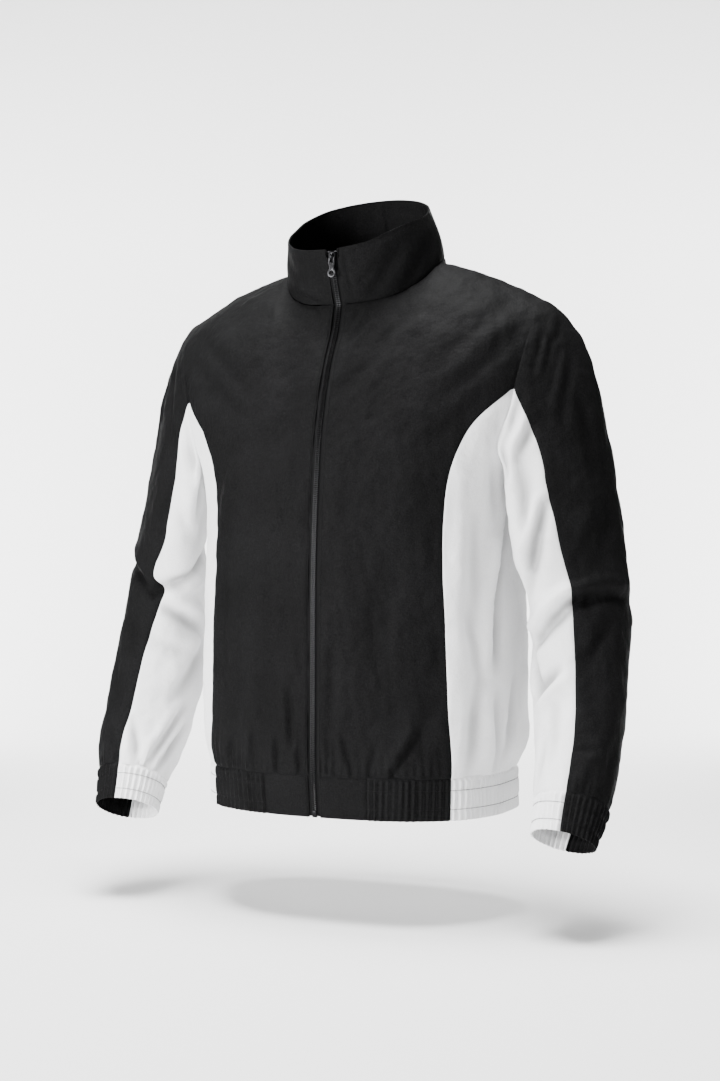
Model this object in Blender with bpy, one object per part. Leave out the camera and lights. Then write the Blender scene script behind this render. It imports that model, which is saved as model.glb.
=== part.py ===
"""A zip-front windbreaker, filled out as if worn, hollow and open at neck, hem and cuffs.

Metres, +Z up, the wearer faces -Y and the wearer's left is +X. The origin is the middle of the
neck base. The cloth is a wall a little thicker than the real one, cut into the pieces that a
maker would sew: every piece is a grid of points on the worn form, moved inwards for its inner
face, and neighbours share the points of their seam before each is drawn back by half the gap.
"""

import math

import bmesh
import bpy
import numpy as np
from mathutils import Matrix, Vector

# ---------------------------------------------------------------- driving sizes
WALL = 0.0016            # cloth wall of the body and sleeves
BAND_WALL = 0.0013       # cloth wall of the elastic bands between their gathers
RIB_HEIGHT = 0.0014      # how far a gather stands out of a band
COLLAR_WALL = 0.0022     # the collar is two cloths thick
SEAM_GAP = 0.0005        # free space left along every seam
ARMHOLE_GAP = 0.0003     # further space at the armhole, whose two sides run almost alongside
TORSO_MIDDLE = 0.020     # how far behind the origin the torso is widest

HEM_BOTTOM = -0.660
HEM_SEAM = -0.610
CHEST_LINE = -0.146      # height of the point where four panels meet on the armhole
ARMPIT = -0.238
ARMHOLE_SQUARE = 0.6     # how steeply the armhole's lower half falls: 1 is a round arc
ARMHOLE_SCOOP = 5.0      # degrees by which its front edge is cut forwards
PLACKET_HALF = 0.007     # from the zip's middle to the edge of each front
HEM_TAB_ANGLE = 24.0     # where the flat tab beside the zip ends
RIB_PITCH = 0.0079       # hem gathers
CUFF_RIB_PITCH = 0.0070

SLEEVE_JOIN = -0.262     # middle height at which the sleeve cap becomes a tube
SLEEVE_JOIN_TILT = 0.030 # how much lower that ring is under the arm than over it
CUFF_SEAM = -0.635
CUFF_BOTTOM = -0.675
SLEEVE_TURN = 45.0       # the sleeve's long axis points this far behind straight outwards

NECK_HALF_WIDTH, NECK_FRONT, NECK_BACK = 0.1035, -0.065, 0.104
RIM_HALF_WIDTH, RIM_FRONT, RIM_BACK = 0.0915, -0.086, 0.077
SHOULDER_POINT = (0.2430, 0.011, -0.036)
OVER_SHOULDER = (0.90, 0.18, -0.40)  # how the sleeve leaves the armhole at its top
UNDER_ARM = (0.28, 0.0, -0.95)       # and at the armpit
CAP_BULGE = 0.32         # how far the cap's front and back swell ahead of and behind the armhole
CAP_START, CAP_FALL = 0.70, 1.1      # how long the cap keeps each of its end directions
TOP_START = 0.29         # how much longer the cap keeps the first one at its top
FRONT_EASE = 0.55        # how much sooner it gives it up in front, where the cap is flatter
FRONT_EASE_ANGLE, FRONT_EASE_REACH = 35.0, 34.0
SHOULDER_ARCH = 0.006    # rise of the shoulder seam above a straight line

# The zip: distances across are from its middle, depths are inwards from the cloth's face.
CHAIN_HALF, CHAIN_DEPTH = 0.0029, 0.0005
TAPE_INNER, TAPE_OUTER, TAPE_DEPTH = 0.0034, 0.0105, 0.0030
TAPE_TOP = 0.0300
ZIP_BOX_LENGTH = 0.008
SLIDER_HEIGHT = 0.0228
SLIDER_WIDTH, SLIDER_FOOT, SLIDER_LENGTH = 0.0100, 0.0080, 0.0120
SLIDER_PLATE, SLIDER_CORE, SLIDER_FACE = 0.0020, 0.0028, 0.0010
BAIL_LENGTH, BAIL_INSIDE, BAIL_WIRE, BAIL_WIDTH = 0.0086, 0.0031, 0.0012, 0.0026
BAIL_ROUND = 0.6         # height of the bail's rounded part against its reach
HINGE_ALONG, HINGE_LIFT = -0.0010, 0.0015
PULL_LENGTH, PULL_WIDTH, PULL_WAIST, PULL_THICKNESS = 0.0250, 0.0090, 0.0062, 0.0014
PULL_TOP, PULL_BAR = 0.0008, 0.0016
PULL_SLOT, PULL_SLOT_WIDTH = 0.0056, 0.0042
PULL_RING, PULL_HOLE = 0.0056, 0.0029

# How many faces run along each stretch. Pieces that share a seam share its count.
BODY_ROWS, YOKE_ROWS = 14, 6
NECK_COLUMNS, SHOULDER_COLUMNS, SIDE_COLUMNS = 6, 6, 10
CAP_ROWS, ARM_ROWS = 7, 19
COLLAR_ROWS, BAND_ROWS = 3, 1
FRONT_COLUMNS = NECK_COLUMNS + SHOULDER_COLUMNS

BLACK = (0.018, 0.018, 0.019, 1.0)
WHITE = (0.78, 0.78, 0.78, 1.0)
TAPE = (0.022, 0.022, 0.023, 1.0)
DARK_METAL = (0.10, 0.10, 0.105, 1.0)
PULL_METAL = (0.22, 0.22, 0.23, 1.0)


class Table:
    """Rows of sizes under named columns. at() reads one column smoothly between the rows."""

    def __init__(self, names, *rows):
        self.names = names.split()
        self.rows = np.array(rows, float)
        order = np.argsort(self.rows[:, 0])
        self.rows = self.rows[order]

    def at(self, name, key):
        keys, values = self.rows[:, 0], self.rows[:, self.names.index(name)]
        slopes = np.gradient(values, keys)
        key = np.clip(np.asarray(key, float), keys[0], keys[-1])
        i = np.clip(np.searchsorted(keys, key, side="right") - 1, 0, len(keys) - 2)
        step = keys[i + 1] - keys[i]
        t = (key - keys[i]) / step
        return (
            (2 * t**3 - 3 * t**2 + 1) * values[i]
            + (t**3 - 2 * t**2 + t) * step * slopes[i]
            + (3 * t**2 - 2 * t**3) * values[i + 1]
            + (t**3 - t**2) * step * slopes[i + 1]
        )


# The torso: rings by height. Front and back are depths from the plane where it is widest, and
# the last two columns say how square each half of a ring is: 2 is an ellipse. Above the armpit
# half_width is where a ring would close inside the sleeve.
TORSO = Table(
    "height half_width front back square_front square_back",
    (-0.660, 0.197, 0.1540, 0.106, 2.55, 2.6),
    (-0.635, 0.197, 0.1565, 0.108, 2.55, 2.6),
    (-0.610, 0.197, 0.1590, 0.110, 2.55, 2.6),
    (-0.585, 0.2055, 0.1600, 0.115, 2.55, 2.9),
    (-0.530, 0.2075, 0.1600, 0.117, 2.60, 3.1),
    (-0.450, 0.2060, 0.1595, 0.116, 2.65, 3.1),
    (-0.370, 0.2035, 0.1585, 0.115, 2.65, 3.0),
    (-0.300, 0.2025, 0.1545, 0.113, 2.65, 2.9),
    (-0.265, 0.2060, 0.1515, 0.112, 2.65, 2.8),
    (-0.238, 0.2125, 0.1485, 0.110, 2.65, 2.6),
    (-0.205, 0.2260, 0.1440, 0.107, 2.60, 2.4),
    (-0.175, 0.2380, 0.1370, 0.103, 2.60, 2.3),
    (-0.146, 0.2450, 0.1290, 0.098, 2.60, 2.2),
)
# The middle of the front above the chest line, up to the neck seam.
FRONT_EDGE = Table(
    "share y height",
    (0.0, -0.1090, -0.146),
    (0.35, -0.0935, -0.106),
    (0.70, -0.0740, -0.067),
    (1.0, NECK_FRONT, -0.034),
)
BACK_EDGE = Table(
    "share y height",
    (0.0, 0.1180, -0.146),
    (0.35, 0.1180, -0.072),
    (0.70, 0.1120, -0.005),
    (1.0, NECK_BACK, 0.047),
)
# The armhole from the chest line over the shoulder, on the front and on the back.
ARMHOLE_FRONT = Table(
    "share x y height",
    (0.0, 0.2232, -0.0518, -0.146),
    (0.35, 0.2320, -0.0440, -0.105),
    (0.65, 0.2375, -0.0290, -0.070),
    (0.85, 0.2395, -0.0120, -0.047),
    (1.0, *SHOULDER_POINT),
)
ARMHOLE_BACK = Table(
    "share x y height",
    (0.0, 0.2262, 0.0620, -0.146),
    (0.35, 0.2330, 0.0600, -0.104),
    (0.65, 0.2380, 0.0490, -0.067),
    (0.85, 0.2395, 0.0330, -0.045),
    (1.0, *SHOULDER_POINT),
)
# Height of the neck seam and of the collar's rim by the angle round the neck from the front.
# The rim lies a little lower on the wearer's right.
NECK = Table(
    "angle seam rim_left rim_right",
    (0, -0.034, 0.031, 0.031),
    (30, -0.028, 0.041, 0.036),
    (45, -0.019, 0.052, 0.042),
    (60, -0.005, 0.063, 0.052),
    (90, 0.026, 0.081, 0.075),
    (110, 0.036, 0.095, 0.094),
    (135, 0.043, 0.111, 0.112),
    (180, 0.047, 0.124, 0.124),
)
# The seams between the white side panel and its neighbours, as angles round the torso.
PRINCESS = Table(
    "height front back",
    (-0.660, 55.6, 122.0),
    (-0.610, 55.0, 122.0),
    (-0.560, 53.2, 122.0),
    (-0.450, 51.8, 122.0),
    (-0.350, 51.1, 121.0),
    (-0.300, 51.8, 119.5),
    (-0.260, 53.1, 117.5),
    (-0.220, 56.2, 113.5),
    (-0.180, 62.4, 107.5),
    (-0.146, 72.2, 100.5),
)
# The sleeve: middle of each section, half its length along its long axis and half across it.
# The seams between the black outer and the white inner sleeve are angles round the arm from its
# front. The two sleeves hang turned by different amounts, so each has its own front seam.
SLEEVE = Table(
    "height x y long short seam_left seam_right seam_back",
    (-0.200, 0.2560, 0.0160, 0.068, 0.0480, 14, -2, 168),
    (-0.262, 0.2665, 0.0060, 0.072, 0.0435, 9, -7, 168),
    (-0.320, 0.2765, -0.0010, 0.0715, 0.0430, 15, -11, 169),
    (-0.380, 0.2866, 0.0030, 0.0655, 0.0490, 15, -14, 170),
    (-0.440, 0.2910, 0.0020, 0.0605, 0.0550, 10, -11, 171),
    (-0.500, 0.2925, -0.0075, 0.0560, 0.0605, 8, -7, 172),
    (-0.560, 0.2968, -0.0270, 0.0500, 0.0590, 5, -9, 172),
    (-0.610, 0.2990, -0.0505, 0.0460, 0.0530, 3, -6, 172),
    (-0.640, 0.2985, -0.0660, 0.0425, 0.0445, 4, -4, 172),
    (-0.655, 0.2968, -0.0740, 0.0400, 0.0420, 5, -4, 172),
    (-0.675, 0.2945, -0.0850, 0.0365, 0.0395, 7, -4, 172),
)

# The largest folds, as soft ridges and troughs: two ends on the worn form, width and depth.
# Sleeve ends are (angle round the arm, height); side 1 is the wearer's left, -1 the right.
SLEEVE_FOLDS = Table(
    "side from_angle from_height to_angle to_height width depth",
    (1, 100, -0.405, 0, -0.420, 0.015, -0.0070),
    (1, 0, -0.420, -62, -0.462, 0.015, -0.0070),
    (1, 40, -0.385, -50, -0.425, 0.016, 0.0050),
    (1, -62, -0.475, -75, -0.520, 0.014, -0.0060),
    (-1, 105, -0.358, 10, -0.386, 0.015, -0.0065),
    (-1, 10, -0.386, -55, -0.432, 0.016, -0.0070),
    (-1, 60, -0.405, -30, -0.440, 0.016, 0.0045),
    (-1, -30, -0.545, -75, -0.590, 0.015, -0.0050),
)
# Body fold ends are (angle round the torso, height), on the wearer's left where the angle is
# above 0 and on the right where it is below.
BODY_FOLDS = Table(
    "from_angle from_height to_angle to_height width depth",
    (74, -0.300, 86, -0.560, 0.018, -0.0050),
    (58, -0.350, 66, -0.560, 0.017, 0.0030),
    (-42, -0.360, -38, -0.590, 0.018, -0.0035),
    (40, -0.440, 34, -0.600, 0.017, -0.0035),
    (150, -0.300, 158, -0.585, 0.020, -0.0040),
    (-150, -0.320, -160, -0.585, 0.020, -0.0040),
    (-178, -0.380, -172, -0.590, 0.020, 0.0030),
)


# ---------------------------------------------------------------- the worn form
def unit(vectors):
    return vectors / np.maximum(np.linalg.norm(vectors, axis=-1, keepdims=True), 1e-12)


def points(x, y, z):
    return np.stack(np.broadcast_arrays(x, y, z), axis=-1).astype(float)


def torso(angle, height):
    """A point of the torso: angle in degrees from the zip towards the wearer's left."""
    turn = np.radians(angle)
    across, ahead = np.sin(turn), np.cos(turn)
    depth = np.where(ahead > 0, TORSO.at("front", height), TORSO.at("back", height))
    square = np.where(ahead > 0, TORSO.at("square_front", height), TORSO.at("square_back", height))
    width = TORSO.at("half_width", height)
    reach = (np.abs(across / width) ** square + np.abs(ahead / depth) ** square) ** (-1 / square)
    return points(reach * across, TORSO_MIDDLE - reach * ahead, height)


def placket_angle(height):
    return np.degrees(np.arctan(PLACKET_HALF / TORSO.at("front", height)))


def hermite(start, start_slope, end, end_slope, share):
    t = np.asarray(share)[..., None]
    return (
        (2 * t**3 - 3 * t**2 + 1) * start
        + (t**3 - 2 * t**2 + t) * start_slope
        + (3 * t**2 - 2 * t**3) * end
        + (t**3 - t**2) * end_slope
    )


def neck_seam(angle):
    middle, half = (NECK_BACK + NECK_FRONT) / 2, (NECK_BACK - NECK_FRONT) / 2
    turn = np.radians(angle)
    return points(
        NECK_HALF_WIDTH * np.sin(turn), middle - half * np.cos(turn), NECK.at("seam", angle)
    )


def collar_rim(angle, word):
    middle, half = (RIM_BACK + RIM_FRONT) / 2, (RIM_BACK - RIM_FRONT) / 2
    turn = np.radians(angle)
    return points(
        RIM_HALF_WIDTH * np.sin(turn), middle - half * np.cos(turn), NECK.at(f"rim_{word}", angle)
    )


NECK_PLACKET = math.degrees(math.asin(PLACKET_HALF / NECK_HALF_WIDTH))


def neck_angles(front):
    """Angles of the neck columns from the body's middle to the shoulder seam."""
    first = NECK_PLACKET if front else 180.0
    return first + (90.0 - first) * np.linspace(0, 1, NECK_COLUMNS + 1)


def top_edge(front):
    """Neckline and shoulder seam of one half, from the body's middle to the shoulder point."""
    neck = neck_seam(neck_angles(front))
    along = np.linspace(0, 1, SHOULDER_COLUMNS + 1)[1:, None]
    shoulder = neck[-1] + (np.array(SHOULDER_POINT) - neck[-1]) * along
    shoulder[:, 2] += SHOULDER_ARCH * np.sin(math.pi * along[:, 0])
    return np.concatenate([neck, shoulder])


def chest_angles(front, height):
    """Angles of the columns of a front or half back at a height below the chest line."""
    across = np.linspace(0, 1, FRONT_COLUMNS + 1)
    if front:
        start, end = placket_angle(height), PRINCESS.at("front", height)
    else:
        start, end = 180.0 + 0 * height, PRINCESS.at("back", height)
    return start[..., None] * (1 - across) + end[..., None] * across


def half_panel(front):
    """Grid of the wearer's left front, or of the left half of the back, from hem seam to top."""
    heights = np.linspace(HEM_SEAM, CHEST_LINE, BODY_ROWS + 1)
    angles = chest_angles(front, heights)
    body = torso(angles, heights[:, None] + 0 * angles)
    low = CHEST_LINE - 0.004
    below = chest_angles(front, np.array([low]))
    rise = unit(body[-1] - torso(below, low)[0])
    top = top_edge(front)
    span = np.linalg.norm(top - body[-1], axis=1, keepdims=True)
    # At the neck the cloth arrives steeply; at the shoulder seam it arrives almost level.
    lean = np.radians(np.interp(np.arange(FRONT_COLUMNS + 1), (0, NECK_COLUMNS), (20, 68)))
    inwards = 1.0 if front else -1.0
    arrive = points(0 * lean, inwards * np.sin(lean), np.cos(lean))
    share = np.linspace(0, 1, YOKE_ROWS + 1)
    yoke = hermite(body[-1], rise * span, top, arrive * span, share[:, None] + 0 * lean)
    edge, hole = (FRONT_EDGE, ARMHOLE_FRONT) if front else (BACK_EDGE, ARMHOLE_BACK)
    middle = points(top[0, 0], edge.at("y", share), edge.at("height", share))
    if front:
        middle[0] = body[-1, 0]
    arm = points(hole.at("x", share), hole.at("y", share), hole.at("height", share))
    arm[0] = body[-1, -1]
    near = np.linspace(1, 0, FRONT_COLUMNS + 1)[None, :, None]
    yoke = yoke + near**3 * (middle - yoke[:, 0])[:, None]
    yoke = yoke + (1 - near) ** 3 * (arm - yoke[:, -1])[:, None]
    return np.concatenate([body, yoke[1:]])


def side_panel():
    """Grid of the wearer's left side panel, from its front seam round to its back seam."""
    across = np.linspace(0, 1, SIDE_COLUMNS + 1)
    drop = (CHEST_LINE - ARMPIT) * np.sin(math.pi * across) ** ARMHOLE_SQUARE
    up = np.linspace(0, 1, BODY_ROWS + 1)[:, None]
    level_rows = HEM_SEAM + (CHEST_LINE - HEM_SEAM) * up
    front, back = PRINCESS.at("front", level_rows), PRINCESS.at("back", level_rows)
    # Towards the armhole the columns crowd to both seams, so that its two edges fall steeply.
    crowded = across - up**3 * np.sin(2 * math.pi * across) / (2 * math.pi)
    scoop = ARMHOLE_SCOOP * up**3 * np.sin(math.pi * np.minimum(1.6 * across, 1))
    return torso(front + (back - front) * crowded - scoop, level_rows - drop * up)


def sleeve_axis(height):
    """Direction in which the wearer's left sleeve runs down at a height."""
    above = height + 0.004
    start = points(SLEEVE.at("x", above), SLEEVE.at("y", above), above)
    return unit(points(SLEEVE.at("x", height), SLEEVE.at("y", height), height) - start)


def sleeve_tube(angle, height):
    """A point of the left sleeve: angle in degrees round the arm from its front, outwards."""
    middle = points(SLEEVE.at("x", height), SLEEVE.at("y", height), height)
    axis = sleeve_axis(height)
    outward = unit(np.array([1.0, 0, 0]) - axis * axis[..., :1])
    forward = np.cross(axis, outward)
    turned, tilt = np.radians(angle - SLEEVE_TURN), math.radians(SLEEVE_TURN)
    along = SLEEVE.at("long", height) * np.sin(turned)
    across = SLEEVE.at("short", height) * np.cos(turned)
    out = along * math.cos(tilt) + across * math.sin(tilt)
    ahead = across * math.cos(tilt) - along * math.sin(tilt)
    return middle + outward * out[..., None] + forward * ahead[..., None]


def seam_angles(word, part, height, count):
    """Angles of the columns of an outer or inner sleeve, at every height asked for."""
    front, back = SLEEVE.at(f"seam_{word}", height), SLEEVE.at("seam_back", height)
    start, end = (front, back) if part == "outer" else (back - 360, front)
    across = np.linspace(0, 1, count)
    return np.asarray(start)[..., None] * (1 - across) + np.asarray(end)[..., None] * across


def sleeve_panel(hole, word, part):
    """Grid of one sleeve piece: rows from its armhole edge down to the cuff seam."""
    angles = seam_angles(word, part, SLEEVE_JOIN, len(hole))
    join = SLEEVE_JOIN + SLEEVE_JOIN_TILT * np.sin(np.radians(angles))
    ring = sleeve_tube(angles, join)
    down = unit(sleeve_tube(angles, join - 0.004) - ring)
    span = np.linalg.norm(ring - hole, axis=1, keepdims=True)
    raised = np.clip((hole[:, 2] - ARMPIT) / (SHOULDER_POINT[2] - ARMPIT), 0, 1)[:, None] ** 2
    leave = raised * np.array(OVER_SHOULDER) + (1 - raised) * np.array(UNDER_ARM)
    leave[:, 1] -= CAP_BULGE * np.cos(np.radians(angles)) * (1 - raised[:, 0])
    share = np.linspace(0, 1, CAP_ROWS + 1)[:, None] + 0 * angles
    ease = np.exp(-(((angles - FRONT_EASE_ANGLE) / FRONT_EASE_REACH) ** 2))[:, None]
    pull = CAP_START + TOP_START * raised - FRONT_EASE * ease
    cap = hermite(hole, unit(leave) * span * pull, ring, down * span * CAP_FALL, share)
    fall = np.linspace(0, 1, ARM_ROWS + 1)[1:, None]
    heights = join + (CUFF_SEAM - join) * fall
    rows = seam_angles(word, part, SLEEVE_JOIN + (CUFF_SEAM - SLEEVE_JOIN) * fall[:, 0], len(hole))
    return np.concatenate([cap, sleeve_tube(rows, heights)])


def mirrored(grid):
    """The same piece on the wearer's right, with its columns reversed to keep facing out."""
    return (grid * np.array([-1.0, 1.0, 1.0]))[:, ::-1]


# ---------------------------------------------------------------- folds
def along_normals(grid):
    """Outward directions of a grid whose rows go up or down and whose columns go round."""
    along, across = np.gradient(grid, axis=0), np.gradient(grid, axis=1)
    return unit(np.cross(across, along))


def ridge(where, start, end, width, depth):
    """How far a soft fold between two points moves each place, fading at both ends."""
    line = end - start
    share = np.clip(((where - start) @ line) / (line @ line), 0, 1)
    away = np.linalg.norm(where - start - share[..., None] * line, axis=-1)
    fade = np.sin(math.pi * np.clip(0.12 + 0.76 * share, 0, 1))
    return depth * fade * np.exp(-((away / width) ** 2))


def folded(grids, normals):
    """Every grid moved by the folds that reach it."""
    ends = []
    for angle, height, to_angle, to_height, width, depth in BODY_FOLDS.rows:
        ends.append(("body", torso(angle, height), torso(to_angle, to_height), width, depth))
    for side, angle, height, to_angle, to_height, width, depth in SLEEVE_FOLDS.rows:
        turn = np.array([side, 1.0, 1.0])
        start, end = sleeve_tube(angle, height) * turn, sleeve_tube(to_angle, to_height) * turn
        ends.append(("sleeve", start, end, width, depth))
    moved = {}
    for name, grid in grids.items():
        kind = "sleeve" if name.startswith("sleeve") else "body"
        shift = sum(ridge(grid, *fold[1:]) for fold in ends if fold[0] == kind)
        moved[name] = grid + normals[name] * np.asarray(shift)[..., None]
    return moved


# ---------------------------------------------------------------- walls
def shared_normals(grids):
    """Normals of every grid, averaged where pieces share the points of a seam."""
    normals = {name: along_normals(grid) for name, grid in grids.items()}
    total = {}
    for name, grid in grids.items():
        for place, normal in zip(grid.reshape(-1, 3), normals[name].reshape(-1, 3)):
            key = tuple(np.round(place / 0.0002).astype(int))
            total[key] = total.get(key, 0) + normal
    for name, grid in grids.items():
        flat = [total[tuple(np.round(p / 0.0002).astype(int))] for p in grid.reshape(-1, 3)]
        normals[name] = unit(np.array(flat).reshape(grid.shape))
    return normals


def drawn_back(grid):
    """A grid with its four edges moved in, square to each edge, by half the seam gap."""
    grid = grid.copy()
    sideways = grid.swapaxes(0, 1)
    moves = []
    for view in (grid, grid[::-1], sideways, sideways[::-1]):
        along = unit(np.gradient(view[0], axis=0))
        inwards = view[1] - view[0]
        inwards = inwards - (inwards * along).sum(-1, keepdims=True) * along
        moves.append((view, unit(inwards) * SEAM_GAP / 2))
    for view, move in moves:
        view[0] += move
    return grid


def material(name, colour, roughness, metallic=0.0):
    made = bpy.data.materials.get(name)
    if made is None:
        made = bpy.data.materials.new(name)
        made.use_nodes = True
        shader = made.node_tree.nodes["Principled BSDF"]
        shader.inputs["Base Color"].default_value = colour
        shader.inputs["Roughness"].default_value = roughness
        shader.inputs["Metallic"].default_value = metallic
        made.diffuse_color = colour
    return made


def finish_mesh(name, mesh, finish):
    mesh.materials.append(finish)
    made = bpy.data.objects.new(name, mesh)
    GARMENT.objects.link(made)
    return made


def wall(name, outer, inner, finish):
    """A closed wall between an outer and an inner grid of the same size."""
    rows, columns = outer.shape[:2]
    places = np.concatenate([outer.reshape(-1, 3), inner.reshape(-1, 3)])
    index = np.arange(rows * columns).reshape(rows, columns)
    back = index + rows * columns
    faces = []
    for grid, flip in ((index, False), (back, True)):
        quads = np.stack([grid[:-1, :-1], grid[:-1, 1:], grid[1:, 1:], grid[1:, :-1]], axis=-1)
        quads = quads.reshape(-1, 4)
        faces.append(quads[:, ::-1] if flip else quads)
    ring = np.concatenate([index[0, :-1], index[:-1, -1], index[-1, :0:-1], index[:0:-1, 0]])
    after = np.roll(ring, -1)
    faces.append(np.stack([after, ring, ring + rows * columns, after + rows * columns], axis=-1))
    mesh = bpy.data.meshes.new(name)
    mesh.from_pydata(places.tolist(), [], np.concatenate(faces).tolist())
    box = bmesh.new()
    box.from_mesh(mesh)
    if box.calc_volume(signed=True) < 0:
        bmesh.ops.reverse_faces(box, faces=box.faces)
    box.to_mesh(mesh)
    box.free()
    mesh.shade_smooth()
    mesh.set_sharp_from_angle(angle=math.radians(50))
    return finish_mesh(name, mesh, finish)


def level(row, normals):
    """The normals of a flat row of points, turned into that row's own plane."""
    third = len(row) // 3
    plane = unit(np.cross(row[third] - row[0], row[2 * third] - row[0]))
    return unit(normals - (normals @ plane)[..., None] * plane)


# ---------------------------------------------------------------- the pieces
def body_and_sleeve_grids():
    front, back, side = half_panel(True), half_panel(False), side_panel()
    # The back half runs from the middle out, so the left half is turned to meet the right.
    grids = {
        "front_left": front,
        "front_right": mirrored(front),
        "side_left": side,
        "side_right": mirrored(side),
        "back": np.concatenate([back[:, ::-1], mirrored(back)[:, ::-1][:, 1:]], axis=1),
    }
    upper = np.concatenate([front[BODY_ROWS:, -1], back[BODY_ROWS:, -1][::-1][1:]])
    lower = side[-1]
    for word in ("left", "right"):
        for part, hole in (("outer", upper), ("inner", lower[::-1])):
            panel = sleeve_panel(hole, word, part)
            grids[f"sleeve_{part}_{word}"] = panel if word == "left" else mirrored(panel)
    return grids


def facing_out(name, grid):
    """Row order that makes along_normals point out of the garment."""
    return grid if not name.startswith("sleeve") else grid[::-1]


def make_panels(black, white):
    grids = {n: facing_out(n, g) for n, g in body_and_sleeve_grids().items()}
    plain = shared_normals(grids)
    grids = folded(grids, plain)
    normals = shared_normals(grids)
    for name, grid in grids.items():
        # Row 0 is the lower edge of every piece: the hem seam or the cuff seam.
        normals[name][0] = level(grid[0], normals[name][0])
        outer = drawn_back(grid)
        inner = drawn_back(grid - normals[name] * WALL)
        if name.startswith("sleeve"):
            for rows in (outer, inner):
                rows[-1, :, 0] += math.copysign(ARMHOLE_GAP, grid[0, 0, 0])
        finish = white if "inner" in name or name.startswith("side") else black
        wall(name, outer, inner, finish)


def collar_grid():
    """The collar from the wearer's left of the zip round the back to the right of it."""
    angles = np.concatenate([neck_angles(True), neck_angles(False)[::-1][1:]])
    up = np.linspace(0, 1, COLLAR_ROWS + 1)[:, None, None]
    halves = []
    for word, turn in (("left", 1.0), ("right", -1.0)):
        seam, rim = neck_seam(angles), collar_rim(angles, word)
        rim[0, 0] = seam[0, 0]
        # The stand bows out a little between the seam and the rim.
        outwards = unit(seam * np.array([1.0, 1.0, 0.0]))
        half = seam + (rim - seam) * up + outwards * 0.003 * np.sin(math.pi * up)
        halves.append(half * np.array([turn, 1.0, 1.0]))
    return np.concatenate([halves[0], halves[1][:, ::-1][:, 1:]], axis=1)


def make_collar(black):
    grid = collar_grid()
    normals = along_normals(grid)
    normals[:, 0] = normals[:, -1] = (normals[:, 0] + normals[:, -1]) * 0.5 * np.array([0, 1, 1])
    normals = unit(normals)
    lift = 0.0006
    outer = drawn_back(grid + normals * lift)
    inner = drawn_back(grid - normals * (COLLAR_WALL - lift))
    raised = 2.5 * SEAM_GAP
    for rows in (outer, inner):
        rows[0] += unit(rows[1] - rows[0]) * raised
    wall("collar", outer, inner, black)


def band(name, place, count, waves, heights, wall_depth, finish):
    """A gathered band: place(share, height) gives its plain face, waves how many gathers."""
    share = np.linspace(0, 1, count + 1)
    rows = np.array(heights)[:, None]
    plain = place(share[None, :] + 0 * rows, rows + 0 * share[None, :])
    normals = along_normals(plain)
    for row in (0, -1):
        normals[row] = level(plain[row], normals[row])
    crest = np.cos(math.pi * np.arange(count + 1)) if waves else np.full(count + 1, -1.0)
    raised = RIB_HEIGHT * (0.5 - 0.5 * crest)[None, :, None] if waves else 0.0
    base, lining = drawn_back(plain), drawn_back(plain - normals * wall_depth)
    return wall(name, base + normals * raised, lining, finish)


def arc_length(place, height):
    line = place(np.linspace(0, 1, 60), np.full(60, height))
    return np.linalg.norm(np.diff(line, axis=0), axis=1).sum()


def make_hem(black, white):
    placket = float(placket_angle(HEM_SEAM))
    seam_front = float(PRINCESS.at("front", HEM_SEAM))
    seam_back = float(PRINCESS.at("back", HEM_SEAM))
    stretches = (
        ("hem_tab_left", placket, HEM_TAB_ANGLE, False, black),
        ("hem_front_left", HEM_TAB_ANGLE, seam_front, True, black),
        ("hem_side_left", seam_front, seam_back, True, white),
        ("hem_back", seam_back, 360 - seam_back, True, black),
        ("hem_side_right", -seam_back, -seam_front, True, white),
        ("hem_front_right", -seam_front, -HEM_TAB_ANGLE, True, black),
        ("hem_tab_right", -HEM_TAB_ANGLE, -placket, False, black),
    )
    heights = np.linspace(HEM_BOTTOM, HEM_SEAM, BAND_ROWS + 1)
    for name, start, end, gathered, finish in stretches:

        def place(share, height, start=start, end=end):
            return torso(start + (end - start) * share, height)

        length = arc_length(place, HEM_SEAM)
        count = 2 * round(length / RIB_PITCH) if gathered else 4
        band(name, place, count, gathered, heights, BAND_WALL, finish)


def make_cuffs(black, white):
    heights = np.linspace(CUFF_BOTTOM, CUFF_SEAM, BAND_ROWS + 1)
    for word, turn in (("left", 1.0), ("right", -1.0)):
        for part, finish in (("outer", black), ("inner", white)):

            def place(share, height, word=word, part=part, turn=turn):
                ends = seam_angles(word, part, height, 2)
                share = share if turn > 0 else 1 - share
                angle = ends[..., 0] + (ends[..., 1] - ends[..., 0]) * share
                return sleeve_tube(angle, height) * np.array([turn, 1.0, 1.0])

            count = 2 * round(arc_length(place, CUFF_SEAM) / CUFF_RIB_PITCH)
            band(f"cuff_{part}_{word}", place, count, True, heights, BAND_WALL, finish)


def zip_line():
    """The zip's middle line from hem to rim: points, upward directions and outward normals."""
    front, collar = half_panel(True)[:, 0], collar_grid()[:, 0]
    line = np.concatenate([torso(0.0, HEM_BOTTOM)[None], front, collar[1:]])
    line[:, 0] = 0.0
    upward = unit(np.gradient(line, axis=0))
    normals = np.cross(np.array([1.0, 0.0, 0.0]), upward)
    # Where the line bends, a normal is longer, so that a depth stays square to both stretches.
    stretch = unit(np.diff(line, axis=0))
    bend = (stretch[1:] * stretch[:-1]).sum(-1, keepdims=True)
    normals[1:-1] /= np.sqrt((1 + bend) / 2)
    return line, upward, normals


def along_zip(height):
    """One point of the zip's middle line, its upward direction and its outward normal."""
    return [
        np.array([np.interp(height, zip_line()[0][:, 2], part[:, axis]) for axis in range(3)])
        for part in zip_line()
    ]


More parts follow.
